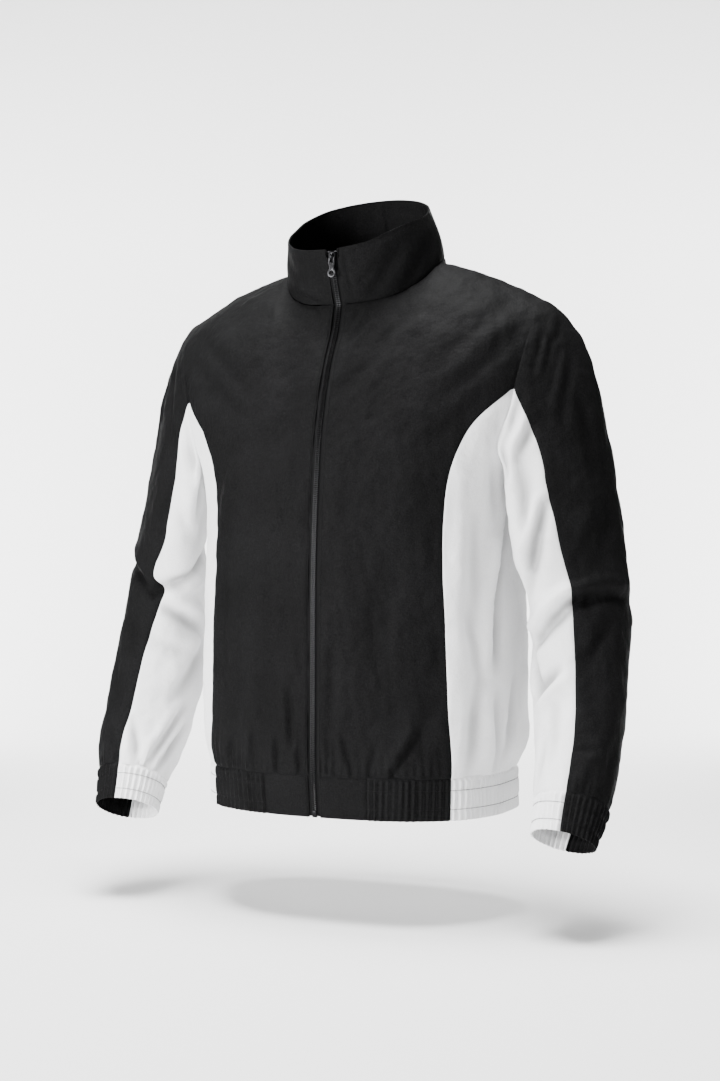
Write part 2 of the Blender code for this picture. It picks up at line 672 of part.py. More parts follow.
def strip(name, low, high, edges, depth, thickness, finish):
    """A flat strip behind the zip opening, between two heights and two distances across."""
    line = zip_line()[0]
    heights = np.concatenate([[low], line[(line[:, 2] > low) & (line[:, 2] < high), 2], [high]])
    stations = [along_zip(height) for height in heights]
    middle = np.array([station[0] for station in stations])
    normals = np.array([station[2] for station in stations])
    faces = []
    for sunk in (depth, depth + thickness):
        side = [middle - normals * sunk + np.array([across, 0.0, 0.0]) for across in edges]
        faces.append(np.stack(side, axis=1))
    return wall(name, faces[0], faces[1], finish)


def make_zip(tape, metal):
    for word, turn in (("left", 1.0), ("right", -1.0)):
        edges = sorted((turn * TAPE_INNER, turn * TAPE_OUTER))
        strip(f"zip_tape_{word}", HEM_BOTTOM + 0.001, TAPE_TOP, edges, TAPE_DEPTH, 0.0009, tape)
    chain = (-CHAIN_HALF, CHAIN_HALF)
    chain_foot = HEM_BOTTOM + ZIP_BOX_LENGTH + 0.0006
    strip("zip_chain", chain_foot, SLIDER_HEIGHT - 0.0072, chain, CHAIN_DEPTH, 0.0022, metal)
    strip("zip_box", HEM_BOTTOM, HEM_BOTTOM + ZIP_BOX_LENGTH, chain, -0.0002, 0.0036, metal)


# ---------------------------------------------------------------- slider and pull
def flat_shape(name, outlines, thickness):
    """A plate cut to outlines in its own XY plane, as a closed mesh; later outlines are holes."""
    curve = bpy.data.curves.new(name, "CURVE")
    curve.dimensions, curve.fill_mode, curve.extrude = "2D", "BOTH", thickness / 2
    for outline in outlines:
        spline = curve.splines.new("POLY")
        spline.points.add(len(outline) - 1)
        for point, (x, y) in zip(spline.points, outline):
            point.co = (x, y, 0.0, 1.0)
        spline.use_cyclic_u = True
    drawn = bpy.data.objects.new(name, curve)
    GARMENT.objects.link(drawn)
    bpy.context.view_layer.update()
    evaluated = drawn.evaluated_get(bpy.context.evaluated_depsgraph_get())
    mesh = bpy.data.meshes.new_from_object(evaluated)
    bpy.data.objects.remove(drawn)
    bpy.data.curves.remove(curve)
    box = bmesh.new()
    box.from_mesh(mesh)
    bmesh.ops.remove_doubles(box, verts=box.verts, dist=0.00001)
    bmesh.ops.recalc_face_normals(box, faces=box.faces)
    box.to_mesh(mesh)
    box.free()
    return mesh


def arc(middle, radius, start, end, count):
    """Points round an arc, with both ends, angles in degrees."""
    turns = np.radians(np.linspace(start, end, count))
    return [(middle[0] + radius * math.cos(t), middle[1] + radius * math.sin(t)) for t in turns]


def slider_frame():
    """The slider's own frame: X across the zip, Y up along it, Z out of the garment."""
    middle, upward, outward = along_zip(SLIDER_HEIGHT)
    across = np.array([1.0, 0.0, 0.0])
    frame = Matrix(np.stack([across, unit(upward), unit(outward)], axis=1).tolist()).to_4x4()
    frame.translation = Vector(middle)
    return frame


def half_hoop(reach, height):
    """The upper half of a flattened hoop that is this high, from its right end to its left."""
    rise = BAIL_ROUND * reach
    return [(x, height - rise + rise * y / reach) for x, y in arc((0.0, 0.0), reach, 0, 180, 9)]


def make_slider(metal):
    """A shield-shaped plate, the core between the teeth and the bail that holds the pull."""
    wide, narrow, reach = SLIDER_WIDTH / 2, SLIDER_FOOT / 2, SLIDER_LENGTH / 2
    shield = [(-narrow, -reach), (narrow, -reach), (wide, 0.6 * reach), (0.5 * wide, reach)]
    shield += [(-0.5 * wide, reach), (-wide, 0.6 * reach)]
    half, core_reach = CHAIN_HALF - 0.0003, reach - 0.0008
    core = [(-half, -core_reach), (half, -core_reach), (half, core_reach), (-half, core_reach)]
    arch = BAIL_LENGTH / 2
    foot = [(-arch, -SLIDER_PLATE / 2), (arch, -SLIDER_PLATE / 2)]
    hole = [(BAIL_WIRE - arch, 0.0), (arch - BAIL_WIRE, 0.0)]
    outside = foot + half_hoop(arch, BAIL_INSIDE + BAIL_WIRE)
    inside = hole + half_hoop(arch - BAIL_WIRE, BAIL_INSIDE)
    pieces = (
        ("slider", flat_shape("slider", [shield], SLIDER_PLATE), -SLIDER_PLATE / 2),
        ("slider_core", flat_shape("core", [core], SLIDER_CORE), -SLIDER_PLATE - 0.0011),
        ("slider_bail", flat_shape("bail", [outside, inside], BAIL_WIDTH), 0.0),
    )
    # The bail's outline stands on edge along the zip, so it is turned before it is placed.
    on_edge = Matrix(((0, 0, 1, 0), (1, 0, 0, 0), (0, 1, 0, 0), (0, 0, 0, 1)))
    made = {}
    for name, mesh, lift in pieces:
        made[name] = bpy.data.objects.new(name, mesh)
        turn = on_edge if name == "slider_bail" else Matrix()
        raised = Matrix.Translation((0, 0, SLIDER_FACE + lift))
        made[name].matrix_world = slider_frame() @ raised @ turn
        (GARMENT if name == "slider" else CUTTERS).objects.link(made[name])
    made["slider"].data.materials.append(metal)
    for name in ("slider_core", "slider_bail"):
        made[name].hide_render = True
        made[name].display_type = "WIRE"
        union = made["slider"].modifiers.new(f"join {name}", "BOOLEAN")
        union.operation, union.object = "UNION", made[name]


def make_pull_tab(metal):
    """The pull hangs straight down from its hinge in the bail. Its origin is on the hinge."""
    hinge = slider_frame() @ Vector((0.0, HINGE_ALONG, SLIDER_FACE + HINGE_LIFT))
    half, waist = PULL_WIDTH / 2, PULL_WAIST / 2
    ring_middle = (0.0, PULL_TOP - PULL_LENGTH + PULL_RING)
    shoulder = PULL_TOP - PULL_SLOT - 0.0030
    outline = [(-half, PULL_TOP - 0.0008), (-half + 0.0008, PULL_TOP)]
    outline += [(half - 0.0008, PULL_TOP), (half, PULL_TOP - 0.0008), (half, shoulder)]
    outline += [(waist, shoulder - 0.0030)]
    outline += arc(ring_middle, PULL_RING, 50, -230, 21)
    outline += [(-waist, shoulder - 0.0030), (-half, shoulder)]
    slot_half, slot_top = PULL_SLOT_WIDTH / 2, PULL_TOP - PULL_BAR
    slot = [(-slot_half, slot_top), (slot_half, slot_top)]
    slot += [(slot_half, slot_top - PULL_SLOT), (-slot_half, slot_top - PULL_SLOT)]
    hole = arc(ring_middle, PULL_HOLE, 0, 340, 18)
    mesh = flat_shape("pull_tab", [outline, slot, hole], PULL_THICKNESS)
    pull = bpy.data.objects.new("pull_tab", mesh)
    GARMENT.objects.link(pull)
    pull.data.materials.append(metal)
    pull.location = hinge
    pull.rotation_euler = (math.pi / 2, 0, 0)


# ---------------------------------------------------------------- start
for old in list(bpy.data.objects):
    bpy.data.objects.remove(old)
GARMENT = bpy.data.collections.new("windbreaker")
CUTTERS = bpy.data.collections.new("cutters")
for collection in (GARMENT, CUTTERS):
    bpy.context.scene.collection.children.link(collection)

black_cloth = material("black_cloth", BLACK, 0.62)
white_cloth = material("white_cloth", WHITE, 0.60)
zip_tape = material("zip_tape", TAPE, 0.8)
zip_metal = material("zip_metal", DARK_METAL, 0.35, 0.9)
pull_metal = material("pull_metal", PULL_METAL, 0.38, 0.85)

make_panels(black_cloth, white_cloth)
make_collar(black_cloth)
make_hem(black_cloth, white_cloth)
make_cuffs(black_cloth, white_cloth)
make_zip(zip_tape, zip_metal)
make_slider(zip_metal)
make_pull_tab(pull_metal)
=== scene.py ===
# %% [markdown]
# # A zip-front windbreaker, filled out as if worn
#
# This lesson dresses the plain solids of a windbreaker in thin woven nylon. A garment is a set of
# flat cut pieces, sewn edge to edge, so each piece here is one grid of points: its rows run up the
# garment and its columns run round it. The grids follow the same worn form as the solids, only
# with many more points, and then get their folds, their gathers and a thickness.

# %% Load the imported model
import math

import bpy
import bmesh
import numpy as np
from mathutils import Matrix, Vector


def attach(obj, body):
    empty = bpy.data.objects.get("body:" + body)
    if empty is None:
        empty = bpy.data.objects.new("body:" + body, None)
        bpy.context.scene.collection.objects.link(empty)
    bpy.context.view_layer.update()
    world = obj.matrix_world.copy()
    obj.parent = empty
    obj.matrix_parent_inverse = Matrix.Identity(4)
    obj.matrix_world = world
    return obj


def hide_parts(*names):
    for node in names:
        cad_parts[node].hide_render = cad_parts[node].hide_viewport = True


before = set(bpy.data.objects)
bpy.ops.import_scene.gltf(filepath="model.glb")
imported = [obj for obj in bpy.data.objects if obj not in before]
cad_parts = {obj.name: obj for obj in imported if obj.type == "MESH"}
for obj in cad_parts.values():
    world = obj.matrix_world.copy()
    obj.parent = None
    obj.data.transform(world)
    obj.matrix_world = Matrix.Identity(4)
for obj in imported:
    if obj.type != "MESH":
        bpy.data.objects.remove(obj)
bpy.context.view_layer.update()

# %% [markdown]
# ## Camera, floor and light
#
# The garment hangs in the air over a pale studio floor and is seen from the front and a little
# from the wearer's left, almost level. A long lens keeps its proportions. The floor curves up
# behind into a backdrop, as a studio's paper roll does, so no horizon shows.

# %% Camera
TARGET = Vector((0.0, 0.0, -0.3265))
VIEW_TURN, VIEW_TILT, VIEW_DISTANCE = math.radians(24.04), math.radians(-0.36), 2.047
LENS, SENSOR = 53.29, 36.0


def placed(name, data):
    """A new object, linked into the scene."""
    made = bpy.data.objects.new(name, data)
    bpy.context.scene.collection.objects.link(made)
    return made


def aim(thing, place, target):
    """Places a camera or lamp and turns it to look at a point."""
    thing.location = place
    thing.rotation_euler = (Vector(target) - Vector(place)).to_track_quat("-Z", "Y").to_euler()


level_reach = VIEW_DISTANCE * math.cos(VIEW_TILT)
camera = placed("camera", bpy.data.cameras.new("camera"))
from_target = Vector((
    math.sin(VIEW_TURN) * level_reach,
    -math.cos(VIEW_TURN) * level_reach,
    math.sin(VIEW_TILT) * VIEW_DISTANCE,
))
aim(camera, TARGET + from_target, TARGET)
camera.data.sensor_width, camera.data.sensor_fit, camera.data.lens = SENSOR, "AUTO", LENS
bpy.context.scene.camera = camera
print("camera at", [round(x, 3) for x in camera.location])

# %% Floor and backdrop
FLOOR = -0.787           # just under the cuffs, where the soft shadow lies
PAPER_END, SWEEP_START, SWEEP_RADIUS, WALL_TOP, ROOM_HALF = -5.0, 2.2, 1.6, 2.1, 2.5


def sweep_profile():
    """The backdrop seen from the side: floor, quarter circle and wall, as (distance, height)."""
    turns = np.linspace(0, math.pi / 2, 24)
    curve = [
        (SWEEP_START + SWEEP_RADIUS * math.sin(t), FLOOR + SWEEP_RADIUS * (1 - math.cos(t)))
        for t in turns
    ]
    return [(PAPER_END, FLOOR), *curve, (SWEEP_START + SWEEP_RADIUS, WALL_TOP)]


def make_backdrop():
    profile = sweep_profile()
    verts = [(side * ROOM_HALF, y, z) for y, z in profile for side in (-1, 1)]
    quads = [(2 * i, 2 * i + 1, 2 * i + 3, 2 * i + 2) for i in range(len(profile) - 1)]
    mesh = bpy.data.meshes.new("backdrop")
    mesh.from_pydata(verts, [], quads)
    mesh.transform(Matrix.Rotation(VIEW_TURN, 4, "Z"))
    mesh.shade_smooth()
    return placed("backdrop", mesh)


backdrop = make_backdrop()
print("backdrop faces:", len(backdrop.data.polygons))

# %% Light
GARMENT_MIDDLE = (0.0, 0.0, -0.3)
LAMPS = (
    # name, place and target (each across, towards the viewer, up), size, watts
    ("key", (-2.3, 1.7, -0.30), GARMENT_MIDDLE, 1.2, 230.0),
    ("fill", (2.2, 1.5, -0.30), GARMENT_MIDDLE, 1.6, 19.0),
    ("top", (-0.2, 0.1, 2.4), GARMENT_MIDDLE, 1.4, 410.0),
    ("paper_left", (-2.0, -1.9, 0.3), (-0.6, -3.8, 0.1), 1.6, 172.0),
    ("paper_right", (2.0, -1.9, 0.3), (0.6, -3.8, 0.1), 1.6, 172.0),
)
WORLD_LIGHT = 0.17


def view_place(across, towards, up):
    """A place given from the viewer's side, turned into the garment's own frame."""
    turned = Matrix.Rotation(VIEW_TURN, 3, "Z") @ Vector((across, -towards, 0))
    return Vector((turned.x, turned.y, up))


for name, place, target, size, watts in LAMPS:
    lamp = placed(name, bpy.data.lights.new(name, "AREA"))
    lamp.data.size, lamp.data.energy = size, watts
    aim(lamp, view_place(*place), view_place(*target))
world = bpy.data.worlds.new("studio")
bpy.context.scene.world = world
world.use_nodes = True
world.node_tree.nodes["Background"].inputs["Color"].default_value = (1, 1, 1, 1)
world.node_tree.nodes["Background"].inputs["Strength"].default_value = WORLD_LIGHT
print("lamps:", [row[0] for row in LAMPS])

# %% [markdown]
# ## The worn form
#
# The body is a stack of rings, and the sleeves are tubes that hang a little forward. Short tables
# hold its sizes, and each table is read smoothly between its rows. Points on the photograph's
# outlines were read off, sections of the form were fitted to them, and the results were rounded
# and partly changed. Heights are metres from the neck base, and angles run round the body from
# the zip towards the wearer's left.


# %% A table that is read smoothly
def cubic(t, start, start_slope, end, end_slope):
    """A smooth run from one value to another, with given slopes at both ends."""
    return (
        (2 * t**3 - 3 * t**2 + 1) * start
        + (t**3 - 2 * t**2 + t) * start_slope
        + (3 * t**2 - 2 * t**3) * end
        + (t**3 - t**2) * end_slope
    )


class Table:
    """Rows of sizes under named columns."""

    def __init__(self, names, *rows):
        self.names = names.split()
        self.rows = np.array(sorted(rows), float)

    def at(self, name, key):
        keys, values = self.rows[:, 0], self.rows[:, self.names.index(name)]
        slopes = np.gradient(values, keys)
        key = np.clip(np.asarray(key, float), keys[0], keys[-1])
        i = np.clip(np.searchsorted(keys, key, side="right") - 1, 0, len(keys) - 2)
        step = keys[i + 1] - keys[i]
        t = (key - keys[i]) / step
        return cubic(t, values[i], step * slopes[i], values[i + 1], step * slopes[i + 1])


# %% Sizes of the worn form
TORSO_MIDDLE = 0.020
HEM_BOTTOM, HEM_SEAM, CHEST_LINE, ARMPIT = -0.660, -0.610, -0.146, -0.238
PLACKET_HALF, HEM_TAB_ANGLE = 0.007, 24.0
SLEEVE_JOIN, SLEEVE_JOIN_TILT, SLEEVE_TURN = -0.262, 0.030, 45.0
CUFF_SEAM, CUFF_BOTTOM = -0.635, -0.675
NECK_HALF_WIDTH, NECK_FRONT, NECK_BACK = 0.1035, -0.065, 0.104
RIM_HALF_WIDTH, RIM_FRONT, RIM_BACK = 0.0915, -0.086, 0.077
SHOULDER_POINT, SHOULDER_ARCH = (0.2430, 0.011, -0.0335), 0.006
OVER_SHOULDER, UNDER_ARM, CAP_BULGE = (0.90, 0.18, -0.40), (0.28, 0.0, -0.95), 0.32
CAP_START, CAP_FALL, TOP_START = 0.70, 1.1, 0.29
FRONT_EASE, FRONT_EASE_ANGLE, FRONT_EASE_REACH = 0.55, 35.0, 34.0
ARMHOLE_SQUARE, ARMHOLE_SCOOP = 0.6, 5.0

TORSO = Table(
    "height half_width front back square_front square_back",
    (-0.660, 0.197, 0.1540, 0.106, 2.55, 2.6),
    (-0.635, 0.197, 0.1565, 0.108, 2.55, 2.6),
    (-0.610, 0.197, 0.1590, 0.110, 2.55, 2.6),
    (-0.585, 0.2055, 0.1600, 0.115, 2.55, 2.9),
    (-0.530, 0.2075, 0.1600, 0.117, 2.60, 3.1),
    (-0.450, 0.2060, 0.1595, 0.116, 2.65, 3.1),
    (-0.370, 0.2035, 0.1585, 0.115, 2.65, 3.0),
    (-0.300, 0.2025, 0.1545, 0.113, 2.65, 2.9),
    (-0.265, 0.2060, 0.1515, 0.112, 2.65, 2.8),
    (-0.238, 0.2125, 0.1485, 0.110, 2.65, 2.6),
    (-0.205, 0.2260, 0.1440, 0.107, 2.60, 2.4),
    (-0.175, 0.2380, 0.1370, 0.103, 2.60, 2.3),
    (-0.146, 0.2450, 0.1290, 0.098, 2.60, 2.2),
)
FRONT_EDGE = Table(
    "share y height",
    (0.0, -0.1090, -0.146),
    (0.35, -0.0935, -0.106),
    (0.70, -0.0740, -0.067),
    (1.0, NECK_FRONT, -0.034),
)
BACK_EDGE = Table(
    "share y height",
    (0.0, 0.1180, -0.146),
    (0.35, 0.1180, -0.072),
    (0.70, 0.1120, -0.005),
    (1.0, NECK_BACK, 0.047),
)
ARMHOLE_FRONT = Table(
    "share x y height",
    (0.0, 0.2232, -0.0518, -0.146),
    (0.35, 0.2320, -0.0440, -0.105),
    (0.65, 0.2375, -0.0290, -0.070),
    (0.85, 0.2395, -0.0120, -0.047),
    (1.0, *SHOULDER_POINT),
)
ARMHOLE_BACK = Table(
    "share x y height",
    (0.0, 0.2262, 0.0620, -0.146),
    (0.35, 0.2330, 0.0600, -0.104),
    (0.65, 0.2380, 0.0490, -0.067),
    (0.85, 0.2395, 0.0330, -0.045),
    (1.0, *SHOULDER_POINT),
)
NECK = Table(
    "angle seam rim_left rim_right",
    (0, -0.034, 0.031, 0.031),
    (30, -0.028, 0.041, 0.036),
    (45, -0.019, 0.052, 0.042),
    (60, -0.005, 0.063, 0.052),
    (90, 0.026, 0.081, 0.075),
    (110, 0.036, 0.095, 0.094),
    (135, 0.043, 0.111, 0.112),
    (180, 0.047, 0.124, 0.124),
    (225, 0.043, 0.111, 0.112),
)
PRINCESS = Table(
    "height front back",
    (-0.660, 55.6, 122.0),
    (-0.610, 55.0, 122.0),
    (-0.560, 53.2, 122.0),
    (-0.450, 51.8, 122.0),
    (-0.350, 51.1, 121.0),
    (-0.300, 51.8, 119.5),
    (-0.260, 53.1, 117.5),
    (-0.220, 56.2, 113.5),
    (-0.180, 62.4, 107.5),
    (-0.146, 72.2, 100.5),
)
SLEEVE = Table(
    "height x y long short seam_left seam_right seam_back",
    (-0.200, 0.2560, 0.0160, 0.068, 0.0480, 14, -2, 168),
    (-0.262, 0.2665, 0.0060, 0.072, 0.0435, 9, -7, 168),
    (-0.320, 0.2765, -0.0010, 0.0715, 0.0430, 15, -11, 169),
    (-0.380, 0.2866, 0.0030, 0.0655, 0.0490, 15, -14, 170),
    (-0.440, 0.2910, 0.0020, 0.0605, 0.0550, 10, -11, 171),
    (-0.500, 0.2925, -0.0075, 0.0560, 0.0605, 8, -7, 172),
    (-0.560, 0.2968, -0.0270, 0.0500, 0.0590, 5, -9, 172),
    (-0.610, 0.2990, -0.0505, 0.0460, 0.0530, 3, -6, 172),
    (-0.640, 0.2985, -0.0660, 0.0425, 0.0445, 4, -4, 172),
    (-0.655, 0.2968, -0.0740, 0.0400, 0.0420, 5, -4, 172),
    (-0.675, 0.2945, -0.0850, 0.0365, 0.0395, 7, -4, 172),
)
print("torso rings:", len(TORSO.rows), "sleeve rings:", len(SLEEVE.rows))


# %% [markdown]
# A grid should be finest where a seam needs it, so its rows and columns stand closer together at
# the edges of each piece. Pieces that share a seam also share its points, so no gap can open.

# %% Points on the worn form
def unit(vectors):
    return vectors / np.maximum(np.linalg.norm(vectors, axis=-1, keepdims=True), 1e-12)


def points(x, y, z):
    return np.stack(np.broadcast_arrays(x, y, z), axis=-1).astype(float)


def closer_at_ends(count, tight=0.62, reach=0.07):
    """Shares from 0 to 1 that stand closer together towards both ends."""
    u = (np.arange(count) + 0.5) / count
    step = 1 - tight * np.exp(-((u / reach) ** 2)) - tight * np.exp(-(((1 - u) / reach) ** 2))
    return np.minimum(np.concatenate([[0], np.cumsum(step) / step.sum()]), 1.0)


def torso(angle, height):
    """A point of the torso: angle in degrees from the zip towards the wearer's left."""
    turn = np.radians(angle)
    across, ahead = np.sin(turn), np.cos(turn)
    depth = np.where(ahead > 0, TORSO.at("front", height), TORSO.at("back", height))
    square = np.where(ahead > 0, TORSO.at("square_front", height), TORSO.at("square_back", height))
    width = TORSO.at("half_width", height)
    reach = (np.abs(across / width) ** square + np.abs(ahead / depth) ** square) ** (-1 / square)
    return points(reach * across, TORSO_MIDDLE - reach * ahead, height)


def ring_point(half_width, front, back, angle, height):
    turn = np.radians(angle)
    return points(
        half_width * np.sin(turn), (back + front) / 2 - (back - front) / 2 * np.cos(turn), height
    )


def neck_seam(angle):
    return ring_point(NECK_HALF_WIDTH, NECK_FRONT, NECK_BACK, angle, NECK.at("seam", angle))


def collar_rim(angle, word):
    height = NECK.at(f"rim_{word}", angle)
    return ring_point(RIM_HALF_WIDTH, RIM_FRONT, RIM_BACK, angle, height)


print("neck seam at the back:", neck_seam(180.0).round(3))

# %% The body's grids
BODY_SHARES, YOKE_SHARES = closer_at_ends(122, reach=0.04), closer_at_ends(46, reach=0.05)
NECK_SHARES, SHOULDER_SHARES = np.linspace(0, 1, 42), np.linspace(0, 1, 43)
FRONT_SHARES = closer_at_ends(83)
SIDE_SHARES = closer_at_ends(64)
NECK_PLACKET = math.degrees(math.asin(PLACKET_HALF / NECK_HALF_WIDTH))


def neck_angles(front):
    first = NECK_PLACKET if front else 180.0
    return first + (90.0 - first) * NECK_SHARES


def top_edge(front):
    """Neckline and shoulder seam of one half, from the body's middle to the shoulder point."""
    neck = neck_seam(neck_angles(front))
    along = SHOULDER_SHARES[1:, None]
    shoulder = neck[-1] + (np.array(SHOULDER_POINT) - neck[-1]) * along
    shoulder[:, 2] += SHOULDER_ARCH * np.sin(math.pi * along[:, 0])
    return np.concatenate([neck, shoulder])


def chest_angles(front, height):
    if front:
        start = np.degrees(np.arctan(PLACKET_HALF / TORSO.at("front", height)))
        end = PRINCESS.at("front", height)
    else:
        start, end = 180.0 + 0 * height, PRINCESS.at("back", height)
    return start[..., None] * (1 - FRONT_SHARES) + end[..., None] * FRONT_SHARES


SMOOTHING_PASSES, SMOOTHING_REACH = 60, 26


def softened(grid, middle, reach=SMOOTHING_REACH):
    """Smooths the rows near the chest line up and down, and leaves the piece's edges alone."""
    rows = np.arange(middle - reach, middle + reach + 1)
    fade = 1 - ((rows - middle) / (reach + 1.0)) ** 2
    columns = np.arange(grid.shape[1])
    inside = np.clip(np.minimum(columns, columns[-1] - columns) / 10.0, 0, 1)
    share = fade[:, None, None] * inside[None, :, None] * 0.5
    # The neckline meets the shoulder seam in a corner, which must not run down the cloth.
    corner = len(NECK_SHARES) - 1
    yoke = np.arange(middle, len(grid) - 1)
    below = np.clip((len(grid) - 1 - yoke) / 9.0, 0, 1)
    beside = np.exp(-(((columns[1:-1] - corner) / 13.0) ** 2))
    blend = below[:, None, None] * beside[None, :, None] * 0.5
    for _ in range(SMOOTHING_PASSES):
        around = (grid[rows - 1] + grid[rows + 1]) / 2
        grid[rows] = grid[rows] * (1 - share) + around * share
        sideways = (grid[yoke, :-2] + grid[yoke, 2:]) / 2
        grid[yoke, 1:-1] = grid[yoke, 1:-1] * (1 - blend) + sideways * blend
    return grid


YOKE_LEAN = (20, 68)     # degrees from upright, at the body's middle and at the neck's end
SMALL_STEP = 0.004       # a short way down, which gives the cloth's direction there


def half_panel(front):
    """Grid of the wearer's left front, or of the left half of the back, from hem seam to top."""
    heights = HEM_SEAM + (CHEST_LINE - HEM_SEAM) * BODY_SHARES
    angles = chest_angles(front, heights)
    body = torso(angles, heights[:, None] + 0 * angles)
    low = CHEST_LINE - SMALL_STEP
    rise = unit(body[-1] - torso(chest_angles(front, np.array([low])), low)[0])
    top = top_edge(front)
    span = np.linalg.norm(top - body[-1], axis=1, keepdims=True)
    columns = np.arange(len(FRONT_SHARES))
    lean = np.radians(np.interp(columns, (0, len(NECK_SHARES) - 1), YOKE_LEAN))
    inwards = 1.0 if front else -1.0
    arrive = points(0 * lean, inwards * np.sin(lean), np.cos(lean))
    share = YOKE_SHARES
    t = (share[:, None] + 0 * lean)[..., None]
    yoke = cubic(t, body[-1], rise * span, top, arrive * span)
    edge, hole = (FRONT_EDGE, ARMHOLE_FRONT) if front else (BACK_EDGE, ARMHOLE_BACK)
    middle = points(top[0, 0], edge.at("y", share), edge.at("height", share))
    if front:
        middle[0] = body[-1, 0]
    arm = points(hole.at("x", share), hole.at("y", share), hole.at("height", share))
    arm[0] = body[-1, -1]
    near = (1 - columns / columns[-1])[None, :, None]
    yoke = yoke + near**3 * (middle - yoke[:, 0])[:, None]
    yoke = yoke + (1 - near) ** 3 * (arm - yoke[:, -1])[:, None]
    return softened(np.concatenate([body, yoke[1:]]), len(body) - 1)


def side_panel():
    """Grid of the wearer's left side panel, from its front seam round to its back seam."""
    across, up = SIDE_SHARES, BODY_SHARES[:, None]
    drop = (CHEST_LINE - ARMPIT) * np.clip(np.sin(math.pi * across), 0, 1) ** ARMHOLE_SQUARE
    level_rows = HEM_SEAM + (CHEST_LINE - HEM_SEAM) * up
    front, back = PRINCESS.at("front", level_rows), PRINCESS.at("back", level_rows)
    # Towards the armhole the columns crowd to both seams, so that its two edges fall steeply.
    crowded = across - up**3 * np.sin(2 * math.pi * across) / (2 * math.pi)
    scoop = ARMHOLE_SCOOP * up**3 * np.sin(math.pi * np.clip(1.6 * across, 0, 1))
    return torso(front + (back - front) * crowded - scoop, level_rows - drop * up)


print("front grid:", half_panel(True).shape[:2], "side grid:", side_panel().shape[:2])

# %% [markdown]
# The sleeve's cap is the hard part of a jacket: it starts on the slanting armhole and has to end
# in a level tube. A smooth curve from each point of the armhole down to the tube makes it, with
# its first direction out over the shoulder and nearly straight down at the armpit.

# %% The sleeves' grids
CAP_SHARES, ARM_SHARES = closer_at_ends(48, reach=0.05), closer_at_ends(126, reach=0.03)
# On the wearer's right the black and white seam bends inwards above the elbow's fold and comes
# out again in a corner below it. Degrees are added to the seam's plain angle. The bends were
# marked on the photograph, as most of the folds below were.
ELBOW_SEAM = Table(
    "height degrees",
    (-0.560, 0.0),
    (-0.510, -1.1),
    (-0.465, -1.7),
    (-0.4200, -4.4),
    (-0.4020, -6.8),
    (-0.3930, -9.4),
    (-0.3850, -8.8),
    (-0.3760, 0.8),
    (-0.3680, 8.5),
    (-0.3560, 12.5),
    (-0.3440, 11.5),
    (-0.3330, 6.5),
    (-0.3200, 0.5),
    (-0.3000, 0.0),
)
# Towards the cuffs the seam at the back of each sleeve turns by a few degrees.
CUFF_TURN = {"left": 16.0, "right": -18.0}


def sleeve_axis(height):
    above = height + SMALL_STEP
    start = points(SLEEVE.at("x", above), SLEEVE.at("y", above), above)
    return unit(points(SLEEVE.at("x", height), SLEEVE.at("y", height), height) - start)


def sleeve_tube(angle, height):
    """A point of the left sleeve: angle in degrees round the arm from its front, outwards."""
    middle = points(SLEEVE.at("x", height), SLEEVE.at("y", height), height)
    axis = sleeve_axis(height)
    outward = unit(np.array([1.0, 0, 0]) - axis * axis[..., :1])
    forward = np.cross(axis, outward)
    turned, tilt = np.radians(angle - SLEEVE_TURN), math.radians(SLEEVE_TURN)
    along = SLEEVE.at("long", height) * np.sin(turned)
    across = SLEEVE.at("short", height) * np.cos(turned)
    out = along * math.cos(tilt) + across * math.sin(tilt)
    ahead = across * math.cos(tilt) - along * math.sin(tilt)
    return middle + outward * out[..., None] + forward * ahead[..., None]


def seam_angles(word, part, height, shares):
    """Angles of the columns of an outer or inner sleeve, at every height asked for."""
    front, back = SLEEVE.at(f"seam_{word}", height), SLEEVE.at("seam_back", height)
    low = np.clip((-0.54 - np.asarray(height)) / 0.09, 0, 1)
    back = back + CUFF_TURN[word] * low**2 * (3 - 2 * low)
    if word == "right":
        front = front + ELBOW_SEAM.at("degrees", height)
    start, end = (front, back) if part == "outer" else (back - 360, front)
    return np.asarray(start)[..., None] * (1 - shares) + np.asarray(end)[..., None] * shares


def sleeve_panel(hole, word, part):
    """Grid of one sleeve piece: rows from its armhole edge down to the cuff seam."""
    shares = closer_at_ends(len(hole) - 1, reach=0.05)
    angles = seam_angles(word, part, SLEEVE_JOIN, shares)
    join = SLEEVE_JOIN + SLEEVE_JOIN_TILT * np.sin(np.radians(angles))
    ring = sleeve_tube(angles, join)
    down = unit(sleeve_tube(angles, join - SMALL_STEP) - ring)
    span = np.linalg.norm(ring - hole, axis=1, keepdims=True)
    raised = np.clip((hole[:, 2] - ARMPIT) / (SHOULDER_POINT[2] - ARMPIT), 0, 1)[:, None] ** 2
    leave = raised * np.array(OVER_SHOULDER) + (1 - raised) * np.array(UNDER_ARM)
    leave[:, 1] -= CAP_BULGE * np.cos(np.radians(angles)) * (1 - raised[:, 0])
    pull = CAP_START + TOP_START * raised
    ease = np.exp(-(((angles - FRONT_EASE_ANGLE) / FRONT_EASE_REACH) ** 2))[:, None]
    pull = pull - FRONT_EASE * ease
    t = (CAP_SHARES[:, None] + 0 * angles)[..., None]
    cap = cubic(t, hole, unit(leave) * span * pull, ring, down * span * CAP_FALL)
    fall = ARM_SHARES[1:, None]
    rows = seam_angles(word, part, SLEEVE_JOIN + (CUFF_SEAM - SLEEVE_JOIN) * fall[:, 0], shares)
    return np.concatenate([cap, sleeve_tube(rows, join + (CUFF_SEAM - join) * fall)])


def mirrored(grid):
    """The same piece on the wearer's right, with its columns reversed to keep facing out."""
    return (grid * np.array([-1.0, 1.0, 1.0]))[:, ::-1]


